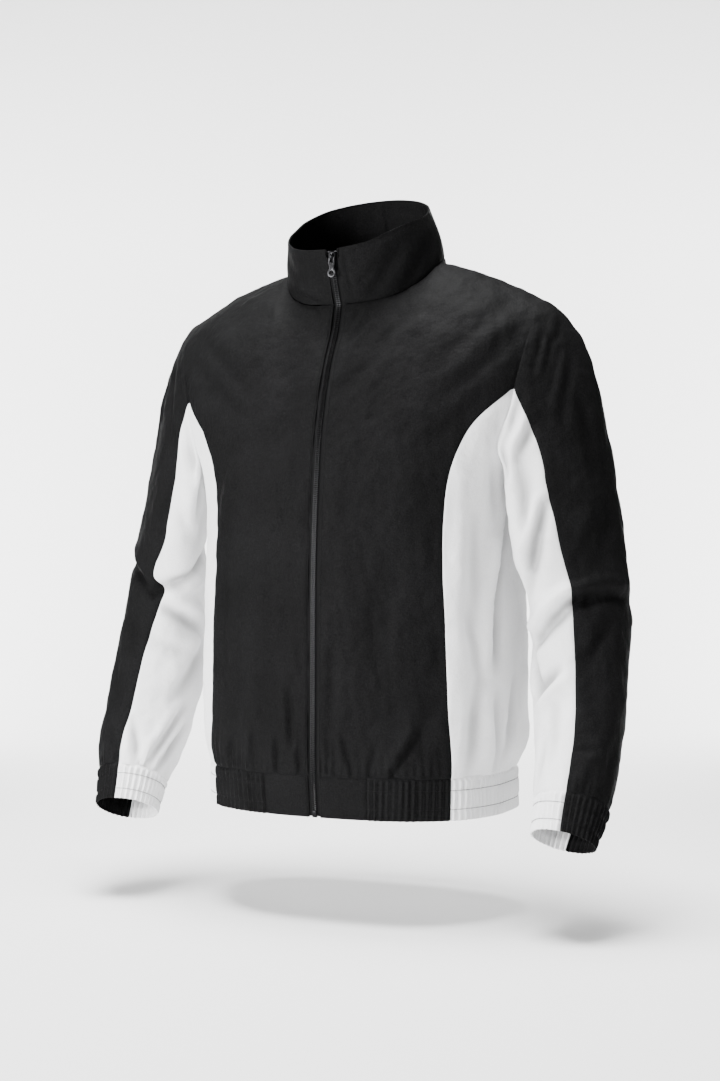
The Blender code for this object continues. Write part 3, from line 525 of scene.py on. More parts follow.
def cut_pieces():
    """Every cut piece of the body and sleeves: row 0 is its lower edge and it faces out."""
    front, back, side = half_panel(True), half_panel(False), side_panel()
    made = {
        "front_left": front,
        "front_right": mirrored(front),
        "side_left": side,
        "side_right": mirrored(side),
        "back": np.concatenate([back[:, ::-1], mirrored(back)[:, ::-1][:, 1:]], axis=1),
    }
    yoke = len(BODY_SHARES) - 1
    upper = np.concatenate([front[yoke:, -1], back[yoke:, -1][::-1][1:]])
    for word in ("left", "right"):
        for part, hole in (("outer", upper), ("inner", side[-1][::-1])):
            panel = sleeve_panel(hole, word, part)
            panel = panel if word == "left" else mirrored(panel)
            made[f"sleeve_{part}_{word}"] = panel[::-1]
    return made


grids = cut_pieces()
print("cut pieces:", {name: grid.shape[:2] for name, grid in grids.items()})

# %% [markdown]
# ## Folds
#
# Nylon is light and springs back, so it shows few folds, long and soft, where the arm bends, where
# the elastic draws the cloth in and where the armhole pulls. Each lies between two points of the
# worn form. Most of those points were marked on the photograph and turned into an angle and a
# height with its camera. A fold is a trough with a roll beside it: one side is steep, which is
# what tells the eye that cloth has been pushed together rather than dented.

# %% Outward directions, shared along seams
def along_normals(grid):
    along, across = np.gradient(grid, axis=0), np.gradient(grid, axis=1)
    return unit(np.cross(across, along))


def shared_normals(pieces):
    """Normals of every grid, averaged where pieces share the points of a seam."""
    normals = {name: along_normals(grid) for name, grid in pieces.items()}
    total = {}

    def borders(grid):
        return [grid[0], grid[-1], grid[:, 0], grid[:, -1]]

    def key(place):
        return tuple(np.round(place / 0.0001).astype(int))

    for name, grid in pieces.items():
        for row, normal in zip(borders(grid), borders(normals[name])):
            for p, n in zip(row, normal):
                total[key(p)] = total.get(key(p), 0) + n
    for name, grid in pieces.items():
        for row, normal in zip(borders(grid), borders(normals[name])):
            normal[:] = unit(np.array([total[key(p)] for p in row]))
    return normals


normals = shared_normals(grids)
print("normals ready for", len(normals), "pieces")

# %% The folds' places
# Rows are (angle, height) of both ends, then width, depth and roll. Angles are round the arm for
# a sleeve and round the torso for the body, and a depth above 0 is a ridge. A roll of
# 0.6 means that the cloth beside the trough rises by 0.6 of its depth, on the side that is to
# the right when looking from the first end to the second with the cloth facing the viewer.
FOLDS = {
    "sleeve_left": (
        # Wearer's left sleeve: the elbow's fold, from the back round to the front, then inwards.
        (105, -0.400, 40, -0.392, 0.0085, -0.0060, 0.45),
        (44, -0.392, 10, -0.398, 0.0075, -0.0090, 0.55),
        (16, -0.396, -34, -0.441, 0.0085, -0.0130, 0.60),
        (-34, -0.441, -64, -0.452, 0.0090, -0.0110, 0.50),
        (35, -0.380, 93, -0.380, 0.0085, 0.0020, 0.0),
        (-62, -0.462, -46, -0.505, 0.0080, -0.0085, 0.50),
        (-60, -0.516, -8, -0.478, 0.0075, -0.0090, 0.55),
        (-16, -0.160, -24, -0.205, 0.0075, -0.0070, 0.50),
        (2, -0.186, -14, -0.228, 0.0075, -0.0070, 0.60),
        (-14, -0.235, -28, -0.335, 0.0110, -0.0085, 0.45),
        (8, -0.286, -28, -0.360, 0.0070, -0.0100, 0.60),
        (-8, -0.330, -50, -0.385, 0.0095, -0.0065, 0.50),
        (21, -0.445, 38, -0.545, 0.0130, -0.0035, 0.40),
        (56, -0.422, 26, -0.468, 0.0090, -0.0045, 0.50),
        (81, -0.280, 50, -0.360, 0.0120, -0.0035, 0.45),
        (60, -0.300, 30, -0.350, 0.0080, -0.0025, 0.50),
        (7, -0.569, 34, -0.572, 0.0050, -0.0026, 0.30),
        (-18, -0.514, -29, -0.583, 0.0090, -0.0035, 0.45),
        (-39, -0.558, -54, -0.608, 0.0075, -0.0040, 0.50),
        (70, -0.560, 60, -0.622, 0.0090, -0.0030, 0.50),
        (40, -0.585, 28, -0.625, 0.0060, -0.0030, 0.50),
        (130, -0.395, 200, -0.440, 0.0120, -0.0070, 0.50),
        (160, -0.300, 200, -0.360, 0.0130, -0.0045, 0.40),
        (150, -0.520, 190, -0.580, 0.0130, -0.0040, 0.40),
        # The same sleeve's cap, drawn in where it is sewn to the shoulder.
        (3, -0.074, -1, -0.122, 0.0050, -0.0030, 0.60),
        (18, -0.080, 11, -0.135, 0.0055, -0.0032, 0.60),
        (30, -0.100, 17, -0.150, 0.0050, -0.0028, 0.60),
        (44, -0.105, 30, -0.190, 0.0070, -0.0032, 0.50),
        (30, -0.062, 26, -0.092, 0.0050, -0.0018, 0.50),
        (69, -0.130, 79, -0.200, 0.0110, 0.0030, 0.0),
        (60, -0.150, 66, -0.260, 0.0110, -0.0030, 0.40),
        (120, -0.100, 130, -0.180, 0.0080, -0.0035, 0.50),
        (150, -0.120, 155, -0.210, 0.0090, -0.0035, 0.50),
        (-26, -0.205, -40, -0.255, 0.0060, -0.0075, 0.50),
    ),
    "sleeve_right": (
        # Wearer's right sleeve.
        (115, -0.352, 55, -0.358, 0.0095, -0.0055, -0.45),
        (55, -0.358, 6, -0.388, 0.0075, -0.0070, -0.60),
        (-4, -0.396, -79, -0.360, 0.0080, -0.0120, 0.60),
        (-79, -0.360, -112, -0.335, 0.0090, -0.0090, 0.50),
        (-26, -0.391, -104, -0.432, 0.0080, 0.0050, 0.0),
        (-20, -0.408, -96, -0.452, 0.0090, -0.0090, -0.50),
        (-13, -0.456, -84, -0.482, 0.0110, -0.0035, -0.40),
        (-104, -0.462, -62, -0.536, 0.0110, -0.0070, 0.40),
        (-16, -0.563, -38, -0.626, 0.0060, -0.0060, 0.60),
        (-83, -0.545, -50, -0.626, 0.0065, -0.0075, 0.60),
        (-92, -0.575, -68, -0.626, 0.0060, -0.0065, 0.60),
        (18, -0.575, -6, -0.625, 0.0060, -0.0030, 0.50),
        (-18, -0.178, -50, -0.232, 0.0065, -0.0080, 0.50),
        (-24, -0.190, -40, -0.250, 0.0090, -0.0035, 0.40),
        (-50, -0.232, -61, -0.300, 0.0065, -0.0070, 0.50),
        (-76, -0.273, -75, -0.335, 0.0090, -0.0035, 0.40),
        (-30, -0.290, -70, -0.345, 0.0110, -0.0030, 0.40),
        (3, -0.233, -1, -0.327, 0.0110, -0.0025, 0.40),
        (40, -0.500, 20, -0.545, 0.0130, -0.0030, 0.40),
        (30, -0.420, 10, -0.480, 0.0110, -0.0030, 0.40),
        (130, -0.372, 200, -0.420, 0.0120, -0.0070, 0.50),
        (150, -0.520, 190, -0.570, 0.0130, -0.0040, 0.40),
        (-8, -0.080, -10, -0.165, 0.0080, -0.0025, 0.50),
        (20, -0.090, 12, -0.180, 0.0090, -0.0028, 0.50),
        (62, -0.100, 55, -0.200, 0.0100, -0.0028, 0.50),
        (130, -0.100, 135, -0.190, 0.0090, -0.0035, 0.50),
    ),
    "body": (
        # Body, wearer's left: folds that fall from the shoulder towards the chest.
        (80, -0.036, 53, -0.121, 0.0130, -0.0032, 0.35),
        (78, -0.075, 51, -0.162, 0.0120, -0.0036, 0.40),
        (66, -0.150, 44, -0.225, 0.0150, -0.0026, 0.30),
        (84, -0.290, 73, -0.399, 0.0085, -0.0095, 0.55),
        (73, -0.399, 71, -0.480, 0.0090, -0.0080, 0.50),
        (84, -0.500, 78, -0.590, 0.0090, -0.0050, 0.40),
        (57, -0.245, 55, -0.516, 0.0110, 0.0035, 0.0),
        (64, -0.500, 62, -0.600, 0.0090, -0.0060, 0.45),
        (72, -0.515, 74, -0.604, 0.0080, -0.0060, 0.45),
        (88, -0.250, 92, -0.300, 0.0080, -0.0060, 0.40),
        (94, -0.340, 94, -0.520, 0.0200, 0.0040, 0.0),
        (62, -0.300, 64, -0.420, 0.0090, -0.0040, 0.40),
        (76, -0.196, 82, -0.250, 0.0060, -0.0075, 0.40),
        (68, -0.215, 74, -0.300, 0.0080, -0.0040, 0.40),
        (12, -0.060, 22, -0.030, 0.0040, -0.0022, 0.40),
        (10, -0.085, 24, -0.052, 0.0050, -0.0024, 0.40),
        (26, -0.100, 44, -0.060, 0.0080, -0.0030, 0.30),
        (14, -0.140, 34, -0.090, 0.0090, -0.0026, 0.30),
        (-12, -0.060, -20, -0.030, 0.0040, -0.0020, 0.40),
        (59, -0.400, 66, -0.500, 0.0090, -0.0045, 0.40),
        (49, -0.516, 41, -0.592, 0.0100, -0.0034, 0.45),
        (43, -0.560, 33, -0.614, 0.0048, -0.0048, 0.65),
        (14, -0.560, 18, -0.616, 0.0040, -0.0028, 0.55),
        (9, -0.420, 8, -0.595, 0.0070, -0.0022, 0.50),
        (31, -0.350, 25, -0.560, 0.0200, -0.0030, 0.0),
        (32, -0.070, 8, -0.156, 0.0150, -0.0024, 0.30),
        (27, -0.575, 25, -0.614, 0.0040, -0.0022, 0.50),
        # Body, wearer's right.
        (-75, -0.058, -41, -0.141, 0.0120, -0.0034, -0.40),
        (-71, -0.090, -43, -0.167, 0.0110, -0.0032, -0.40),
        (-42, -0.230, -48, -0.304, 0.0090, 0.0042, 0.0),
        (-46, -0.277, -43, -0.550, 0.0140, -0.0038, 0.0),
        (-35, -0.425, -38, -0.573, 0.0120, -0.0028, 0.30),
        (-11, -0.505, -9, -0.580, 0.0045, -0.0030, 0.60),
        (-7, -0.562, -7, -0.612, 0.0040, -0.0026, 0.60),
        (-17, -0.565, -17, -0.616, 0.0038, -0.0028, 0.60),
        (-29, -0.560, -28, -0.616, 0.0040, -0.0028, 0.60),
        (-40, -0.575, -42, -0.604, 0.0060, -0.0030, 0.60),
        (-24, -0.400, -22, -0.560, 0.0180, -0.0026, 0.0),
        (-40, -0.050, -14, -0.175, 0.0170, -0.0024, -0.30),
        (-80, -0.300, -88, -0.560, 0.0160, -0.0045, 0.0),
        # Back.
        (150, -0.300, 158, -0.585, 0.0180, -0.0045, 0.0),
        (-150, -0.320, -160, -0.585, 0.0180, -0.0045, 0.0),
        (-178, -0.380, -172, -0.590, 0.0200, 0.0035, 0.0),
        (108, -0.110, 138, -0.230, 0.0130, -0.0035, 0.35),
        (-108, -0.100, -140, -0.210, 0.0130, -0.0035, -0.35),
        (112, -0.180, 145, -0.290, 0.0150, -0.0030, 0.30),
        (165, -0.540, 168, -0.604, 0.0070, -0.0036, 0.50),
        (-142, -0.540, -140, -0.604, 0.0070, -0.0036, 0.50),
        (138, -0.550, 134, -0.604, 0.0060, -0.0034, 0.50),
        (-168, -0.570, -167, -0.606, 0.0055, -0.0030, 0.50),
    ),
}
print("folds:", sum(len(rows) for rows in FOLDS.values()))


# %% Moving the cloth by its folds
def body_angle(where):
    return np.degrees(np.arctan2(where[..., 0], TORSO_MIDDLE - where[..., 1]))


def arm_angle(where, side):
    """The angle round the arm that sleeve_tube would need to reach these points."""
    where = where * np.array([side, 1.0, 1.0])
    height = where[..., 2]
    axis = sleeve_axis(height)
    outward = unit(np.array([1.0, 0, 0]) - axis * axis[..., :1])
    offset = where - points(SLEEVE.at("x", height), SLEEVE.at("y", height), height)
    out, ahead = (offset * outward).sum(-1), (offset * np.cross(axis, outward)).sum(-1)
    tilt = math.radians(SLEEVE_TURN)
    along = (out * math.cos(tilt) - ahead * math.sin(tilt)) / SLEEVE.at("long", height)
    across = (out * math.sin(tilt) + ahead * math.cos(tilt)) / SLEEVE.at("short", height)
    return np.degrees(np.arctan2(along, across)) + SLEEVE_TURN


def group_of(name):
    """Which folds reach a piece: those of its own sleeve, or those of the body."""
    return f"sleeve_{name.split('_')[-1]}" if name.startswith("sleeve") else "body"


SURFACE = {}
for name, grid in grids.items():
    flat = grid[::2, ::2].reshape(-1, 3)
    group, side = group_of(name), -1 if "right" in name else 1
    turned = body_angle(flat) if group == "body" else arm_angle(flat, side)
    SURFACE.setdefault(group, []).append((flat, turned))
SURFACE = {key: [np.concatenate(part) for part in zip(*rows)] for key, rows in SURFACE.items()}


DEGREE_LENGTH = {"body": 0.0035, "sleeve": 0.0011}  # about how much cloth one degree spans


def form_point(part, angle, height):
    """The point of the worn cloth that a fold's end names."""
    where, turned = SURFACE[part]
    around = ((turned - angle + 180) % 360 - 180) * DEGREE_LENGTH[part.split("_")[0]]
    return where[np.argmin(around**2 + (where[:, 2] - height) ** 2)]


# Place and width of the roll, in widths of its fold, and how far off the line a fold reaches
# through the cloth's thickness direction, so that the far side of the garment stays as it is.
ROLL_PLACE, ROLL_WIDTH, FOLD_REACH = 1.9, 1.15, 0.030


def fold_shift(where, out, start, end, width, depth, roll):
    """How far one fold moves each point along its outward direction."""
    line = end - start
    share = ((where - start) @ line) / (line @ line)
    held = np.clip(share, 0, 1)
    offset = where - start - held[..., None] * line
    lifted = (offset * out).sum(-1)
    flat = offset - lifted[..., None] * out
    away = np.linalg.norm(flat, axis=-1) / width
    side = np.sign((offset * np.cross(line, out)).sum(-1)) * away
    fade = np.sin(math.pi * np.clip(0.10 + 0.80 * held, 0, 1)) ** 0.8
    trough = np.exp(-(away**2))
    beyond = np.clip(np.abs(share - 0.5) - 0.5, 0, None) * np.linalg.norm(line) / width
    beside = np.exp(-(((side - ROLL_PLACE * np.sign(roll)) / ROLL_WIDTH) ** 2) - beyond**2)
    return depth * fade * (trough - abs(roll) * beside) * np.exp(-((lifted / FOLD_REACH) ** 2))


def edge_distance(grid):
    """Distance of every point to the four edges of its piece: bottom, top, first and last."""
    up = np.linalg.norm(np.diff(grid, axis=0), axis=-1)
    across = np.linalg.norm(np.diff(grid, axis=1), axis=-1)
    up = np.concatenate([np.zeros_like(up[:1]), np.cumsum(up, axis=0)])
    across = np.concatenate([np.zeros_like(across[:, :1]), np.cumsum(across, axis=1)], axis=1)
    return up, up[-1:] - up, across, across[:, -1:] - across


ARMHOLE_FADE = 0.016


def armhole_fade(name, grid):
    """0 on the armhole seam and 1 away from it, so that body and sleeve stay joined there."""
    top, first, last = edge_distance(grid)[1:]
    if name.startswith(("sleeve", "side")):
        return 1 - np.exp(-((top / ARMHOLE_FADE) ** 2))
    yoke = np.clip((grid[..., 2] - CHEST_LINE + 0.012) / 0.012, 0, 1)
    ends = {"front_left": [last], "front_right": [first], "back": [first, last]}[name]
    keep = np.ones(grid.shape[:2])
    for distance in ends:
        keep *= 1 - yoke * np.exp(-((distance / ARMHOLE_FADE) ** 2))
    return keep


# Painted shade: a fold's colour is darkened more as it deepens, in full at this depth.
FULL_PAINTED_SHADE_DEPTH = 0.0075   # a fold this deep is darkened in full
shifts, painted_shades = {}, {}
for name, grid in grids.items():
    moved, part = np.zeros(grid.shape[:2]), group_of(name)
    for angle, height, to_angle, to_height, *form in FOLDS[part]:
        start, end = form_point(part, angle, height), form_point(part, to_angle, to_height)
        moved += fold_shift(grid, normals[name], start, end, *form)
    shifts[name] = moved * armhole_fade(name, grid)
    # How much painted shade each point's colour gets, from the depth of its fold.
    painted_shades[name] = np.clip(-shifts[name] / FULL_PAINTED_SHADE_DEPTH, 0, 1)
print("deepest fold:", round(min(s.min() for s in shifts.values()) * 1000, 1), "mm")

# %% [markdown]
# Between its folds thin cloth is never quite flat. A hundred waves, 12 to 85 mm long, that cross
# each other at random give that faint unevenness. Above the elastic the cloth is gathered into
# puckers that die out upwards, and a seam sinks into the cloth because its two layers are pulled
# together.

# %% Unevenness, puckers and sunk seams
chance = np.random.default_rng(11)


def uneven(where, count, shortest, longest):
    """A smooth random field of about unit size: crossed waves of many lengths."""
    field = np.zeros(where.shape[:-1])
    for _ in range(count):
        direction = unit(chance.normal(size=3) * np.array([1.2, 1.2, 0.7]))
        length = chance.uniform(shortest, longest)
        field += np.sin(2 * math.pi * (where @ direction) / length + chance.uniform(0, 2 * math.pi))
    return field / math.sqrt(count / 2)


def wandering(along, spacing):
    """A smooth random line: values from -1 to 1 that change over about the spacing."""
    knots = chance.uniform(-1, 1, int(along.max() / spacing) + 4)
    return np.interp(along, np.arange(len(knots)) * spacing, knots)


PUCKERS = {"sleeve": (0.0082, 0.0020, 0.014), "body": (0.0098, 0.0022, 0.017)}


def puckers(grid, pitch, height, reach):
    """Gathers along the lower edge: nothing on the seam, most just above it, then fading."""
    bottom, _, first, _ = edge_distance(grid)
    along = first[0]
    phase = 2 * math.pi * along / pitch + 1.6 * wandering(along, 0.021)
    tall = 0.62 + 0.38 * wandering(along, 0.013)
    long = reach * (0.8 + 0.45 * wandering(along, 0.017))
    rise = bottom / 0.004
    return height * tall * np.cos(phase) * (1 - np.exp(-(rise**2))) * np.exp(-bottom / long)


SEAM_DEPTH, SEAM_WIDTH, PULL_DEPTH, PULL_REACH = 0.0007, 0.0016, 0.0003, 0.006


def seam_profile(distance):
    """A seam's own relief across it: the cloth sinks towards the line of stitches."""
    sunk = -SEAM_DEPTH * np.exp(-((distance / SEAM_WIDTH) ** 2))
    return sunk - PULL_DEPTH * np.exp(-distance / PULL_REACH)


# height, count, shortest and longest
WAVES = ((0.00065, 40, 0.030, 0.085), (0.00028, 60, 0.012, 0.028))
# The sleeve seam is pressed flat over the shoulder and sinks only lower down.
PRESSED_DOWN_TO, PRESSED_FADE, PRESSED_SHARE = -0.045, 0.08, 0.25
every = np.concatenate([grid.reshape(-1, 3) for grid in grids.values()])
field = sum(height * uneven(every, *kind) for height, *kind in WAVES)
start = 0
for name, grid in grids.items():
    size = grid.shape[0] * grid.shape[1]
    shifts[name] += field[start : start + size].reshape(grid.shape[:2])
    start += size
    shifts[name] += puckers(grid, *PUCKERS[group_of(name).split("_")[0]])
    low = np.clip((PRESSED_DOWN_TO - grid[..., 2]) / PRESSED_FADE, PRESSED_SHARE, 1)
    for distance in edge_distance(grid):
        shifts[name] += seam_profile(distance) * low
    grids[name] = grid + normals[name] * shifts[name][..., None]
print("points moved:", start)

# %% [markdown]
# ## From grid to cloth
#
# A grid becomes faces, gets a UV map that is simply its size in metres, and is then thickened
# inwards. The UV map lets the weave follow the cloth round every bend at its true scale.

# %% Making a piece of cloth
CLOTH, DOUBLE_CLOTH = 0.0007, 0.0022
SHARP_ANGLE, EDGE_ANGLE, SOLID_EDGE_ANGLE = (math.radians(a) for a in (42, 60, 35))


def metres_uv(grid):
    bottom, _, first, _ = edge_distance(grid)
    middle = first[:, first.shape[1] // 2]
    return np.stack([first - middle[:, None], bottom], axis=-1)


def plain_mesh(name, grid, painted_shade):
    """One quad for every cell of a grid, facing the way that along_normals points."""
    rows, columns = grid.shape[:2]
    index = np.arange(rows * columns).reshape(rows, columns)
    quads = np.stack([index[:-1, :-1], index[:-1, 1:], index[1:, 1:], index[1:, :-1]], axis=-1)
    quads = quads.reshape(-1, 4)
    mesh = bpy.data.meshes.new(name)
    mesh.from_pydata(grid.reshape(-1, 3).tolist(), [], quads.tolist())
    layer = mesh.uv_layers.new(name="metres")
    flat = metres_uv(grid).reshape(-1, 2)
    layer.data.foreach_set("uv", flat[quads.reshape(-1)].astype(np.float32).reshape(-1))
    # The folds' painted shade is kept on the points, where the finish darkens the colour.
    if painted_shade is not None:
        depth = mesh.attributes.new("painted_shade", "FLOAT", "POINT")
        depth.data.foreach_set("value", painted_shade.astype(np.float32).reshape(-1))
    return mesh


def finished(made):
    """The object with its modifiers turned into plain mesh."""
    bpy.context.view_layer.update()
    evaluated = made.evaluated_get(bpy.context.evaluated_depsgraph_get())
    mesh = bpy.data.meshes.new_from_object(evaluated)
    made.modifiers.clear()
    made.data = mesh
    mesh.shade_smooth()
    mesh.set_sharp_from_angle(angle=SHARP_ANGLE)
    return made


def cloth(name, grid, thickness, finish, round_edge=0.0, painted_shade=None):
    """A closed piece of cloth: the grid is its outer face and the thickness goes inwards."""
    made = placed(name, plain_mesh(name, grid, painted_shade))
    made.data.materials.append(finish)
    solid = made.modifiers.new("thickness", "SOLIDIFY")
    solid.thickness, solid.offset, solid.use_rim = thickness, -1.0, True
    solid.use_even_offset = False
    if round_edge:
        bevel = made.modifiers.new("edge", "BEVEL")
        bevel.width, bevel.segments, bevel.limit_method = round_edge, 2, "ANGLE"
        bevel.angle_limit = EDGE_ANGLE
    return finished(made)


print("cloth", CLOTH * 1000, "mm thick")

# %% [markdown]
# ## Nylon
#
# Light nylon has a plain weave that is too fine to see from here but breaks up its gloss, and a
# faint crinkle. The weave is two crossed sets of fine waves on the UV map, and both only tilt the
# surface, as bump. Nothing here depends on where the camera is.


# %% The cloth's material
def node(tree, kind, **inputs):
    """Adds a shader node and fills its inputs by name."""
    made = tree.nodes.new(kind)
    for key, value in inputs.items():
        made.inputs[key.replace("_", " ")].default_value = value
    return made


def join(tree, *links):
    """Links sockets, each given as (node, output, node, input)."""
    for source, output, target, socket in links:
        tree.links.new(source.outputs[output], target.inputs[socket])


def new_finish(name, gloss):
    made = bpy.data.materials.new(name)
    made.use_nodes = True
    shader = made.node_tree.nodes["Principled BSDF"]
    shader.inputs["Specular IOR Level"].default_value = gloss
    return made, made.node_tree, shader


def spread(tree, **ends):
    """A node that maps one range of values to another: From_Min, From_Max, To_Min, To_Max."""
    return node(tree, "ShaderNodeMapRange", **ends)


def operation(tree, kind, name):
    made = node(tree, kind)
    made.operation = name
    return made


def nylon(name, dark, light, roughness, gloss, crinkle, painted_shade_share, grain):
    """Woven cloth in patches of two tones, with painted shade that darkens deep folds by a share.
    """
    made, tree, shader = new_finish(name, gloss)
    shader.inputs["Roughness"].default_value = roughness
    uv, place = node(tree, "ShaderNodeUVMap"), node(tree, "ShaderNodeTexCoord")
    uv.uv_map = "metres"
    weave = operation(tree, "ShaderNodeMath", "MAXIMUM")
    for slot, axis in enumerate("XY"):
        wave = node(tree, "ShaderNodeTexWave", Scale=620.0, Distortion=1.2, Detail=1.0)
        wave.wave_type, wave.bands_direction = "BANDS", axis
        join(tree, (uv, "UV", wave, "Vector"), (wave, "Fac", weave, slot))
    wrinkle = node(tree, "ShaderNodeTexNoise", Scale=85.0, Detail=6.0, Roughness=0.60)
    fine = node(tree, "ShaderNodeBump", Strength=0.35, Distance=0.00006)
    broad = node(tree, "ShaderNodeBump", Strength=crinkle, Distance=0.0020)
    patches = node(tree, "ShaderNodeTexNoise", Scale=14.0, Detail=3.0)
    ramp = node(tree, "ShaderNodeValToRGB")
    for element, position, colour in zip(ramp.color_ramp.elements, (0.35, 0.68), (dark, light)):
        element.position, element.color = position, (*colour, 1)
    # Painted shade: light alone leaves deep folds paler than in the photograph, so their
    # colour is darkened.
    depth = node(tree, "ShaderNodeAttribute")
    depth.attribute_name = "painted_shade"
    shade = spread(tree, To_Min=1.0, To_Max=1.0 - painted_shade_share)
    threads = node(tree, "ShaderNodeTexNoise", Scale=750.0, Detail=2.0)
    speckle = spread(tree, From_Min=0.3, From_Max=0.7, To_Min=1 - grain, To_Max=1 + grain)
    both = operation(tree, "ShaderNodeMath", "MULTIPLY")
    darker = operation(tree, "ShaderNodeVectorMath", "SCALE")
    join(
        tree,
        (place, "Object", wrinkle, "Vector"), (weave, "Value", fine, "Height"),
        (wrinkle, "Fac", broad, "Height"), (fine, "Normal", broad, "Normal"),
        (broad, "Normal", shader, "Normal"), (place, "Object", patches, "Vector"),
        (patches, "Fac", ramp, "Fac"), (depth, "Fac", shade, "Value"),
        (place, "Object", threads, "Vector"), (threads, "Fac", speckle, "Value"),
        (shade, "Result", both, 0), (speckle, "Result", both, 1),
        (ramp, "Color", darker, 0), (both, "Value", darker, "Scale"),
        (darker, "Vector", shader, "Base Color"),
    )
    return made


# Deep folds are darkened as painted shade: by 30 percent on black, by 50 on white.
black_nylon = nylon(
    "black_nylon", (0.0050, 0.0050, 0.0051), (0.0063, 0.0063, 0.0065),
    roughness=0.58, gloss=0.012, crinkle=0.80, painted_shade_share=0.30, grain=0.36,
)
white_nylon = nylon(
    "white_nylon", (0.70, 0.70, 0.705), (0.74, 0.74, 0.745),
    roughness=0.55, gloss=0.15, crinkle=0.70, painted_shade_share=0.50, grain=0.045,
)
print("nylon finishes:", black_nylon.name, white_nylon.name)

# %% The body and sleeves
BLACK_SLOT, WHITE_SLOT = "black_cloth", "white_cloth"
NYLON = {False: (black_nylon, BLACK_SLOT), True: (white_nylon, WHITE_SLOT)}
flat_pieces = cut_pieces()


def declare(made, node_name):
    """Attaches a piece of cloth to the garment and hides the solid that it replaces."""
    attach(made, "garment")
    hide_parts(node_name)


for name, grid in grids.items():
    finish, slot = NYLON["side" in name or "inner" in name]
    # Each piece takes the painted shade of its folds.
    made = cloth(f"cloth_{name}", grid, CLOTH, finish, painted_shade=painted_shades[name])
    declare(made, name)

# %% [markdown]
# ## Collar
#
# The collar is two cloths thick and stands by itself. Its rim leans in all round and dips at the
# front. It gets a rounded edge, and the soft diagonal folds that a turned neck leaves in it.

# %% The collar's grid
COLLAR_LIFT, COLLAR_EDGE, COLLAR_ROLL = 0.0006, 0.0008, 0.3
COLLAR_BULGE = {"left": 0.003, "right": 0.001}
COLLAR_WAVES = (0.0002, 30, 0.02, 0.06)
COLLAR_FOLDS = (
    # side of the wearer, from (angle, share of height), to (angle, share), width, depth
    (-1, 38, 0.16, 14, 0.02, 0.0045, -0.0030),
    (-1, 40, 0.30, 16, 0.14, 0.0060, 0.0024),
    (-1, 60, 0.75, 35, 0.45, 0.0090, -0.0018),
    (-1, 30, 0.92, 28, 0.10, 0.0035, -0.0008),
    (1, 10, 0.94, 12, 0.06, 0.0035, -0.0010),
    (1, 14, 0.85, 60, 0.95, 0.0030, -0.0006),
    (1, 16, 0.30, 30, 0.55, 0.0045, -0.0016),
    (1, 22, 0.05, 52, 0.70, 0.0085, -0.0024),
    (1, 12, 0.20, 38, 0.85, 0.0100, 0.0014),
    (1, 48, 0.02, 80, 0.55, 0.0090, -0.0028),
    (1, 70, 0.05, 95, 0.75, 0.0100, -0.0024),
    (1, 120, 0.10, 150, 0.80, 0.0140, -0.0014),
    (-1, 120, 0.10, 150, 0.80, 0.0140, -0.0014),
    (-1, 165, 0.15, 140, 0.85, 0.0140, 0.0012),
)


def collar_grid():
    """The collar from the wearer's left of the zip round the back to the right of it."""
    ahead = NECK_PLACKET + (90.0 - NECK_PLACKET) * closer_at_ends(72)
    behind = 90.0 + 90.0 * np.linspace(0, 1, 61)[1:]
    angles = np.concatenate([ahead, behind])
    up = closer_at_ends(30, reach=0.09)[:, None, None]
    halves = []
    for word, turn in (("left", 1.0), ("right", -1.0)):
        seam, rim = neck_seam(angles), collar_rim(angles, word)
        rim[0, 0] = seam[0, 0]
        outwards = unit(seam * np.array([1.0, 1.0, 0.0]))
        bulge = outwards * COLLAR_BULGE[word] * np.sin(math.pi * up)
        half = seam + (rim - seam) * up + bulge
        halves.append(half * np.array([turn, 1.0, 1.0]))
    return np.concatenate([halves[0], halves[1][:, ::-1][:, 1:]], axis=1)


def collar_place(side, angle, share):
    word = "left" if side > 0 else "right"
    seam, rim = neck_seam(np.array(float(angle))), collar_rim(np.array(float(angle)), word)
    return (seam + (rim - seam) * share) * np.array([side, 1.0, 1.0])


collar_flat = collar_grid()
collar_out = along_normals(collar_flat)
collar_shift = COLLAR_LIFT + COLLAR_WAVES[0] * uneven(collar_flat, *COLLAR_WAVES[1:])
for side, angle, share, to_angle, to_share, *form in COLLAR_FOLDS:
    ends = collar_place(side, angle, share), collar_place(side, to_angle, to_share)
    collar_shift = collar_shift + fold_shift(collar_flat, collar_out, *ends, *form, COLLAR_ROLL)
collar_shift = collar_shift + seam_profile(edge_distance(collar_flat)[0])
collar = cloth(
    "cloth_collar", collar_flat + collar_out * collar_shift[..., None], DOUBLE_CLOTH, black_nylon,
    round_edge=COLLAR_EDGE,
)
declare(collar, "collar")

# %% [markdown]
# ## Elastic hem and cuffs
#
# The bands are folded double over elastic and sewn through twice. The elastic draws the cloth
# into ribs, which are tallest between the rows of stitching and pinched flat on them. Beside the
# zip each front has a flat tab without elastic.

# %% Gathered bands
RIB_PITCH, CUFF_RIB_PITCH, RIB_HEIGHT = 0.0079, 0.0070, 0.0028
BAND_CLOTH, BAND_EDGE, STITCH_ROWS = 0.0013, 0.0004, (0.72, 0.27)
BAND_SHARES = closer_at_ends(22, reach=0.08)
BAND_FINES = 9           # points along each rib
TAB_COLUMNS = 40         # a flat tab has no ribs to follow
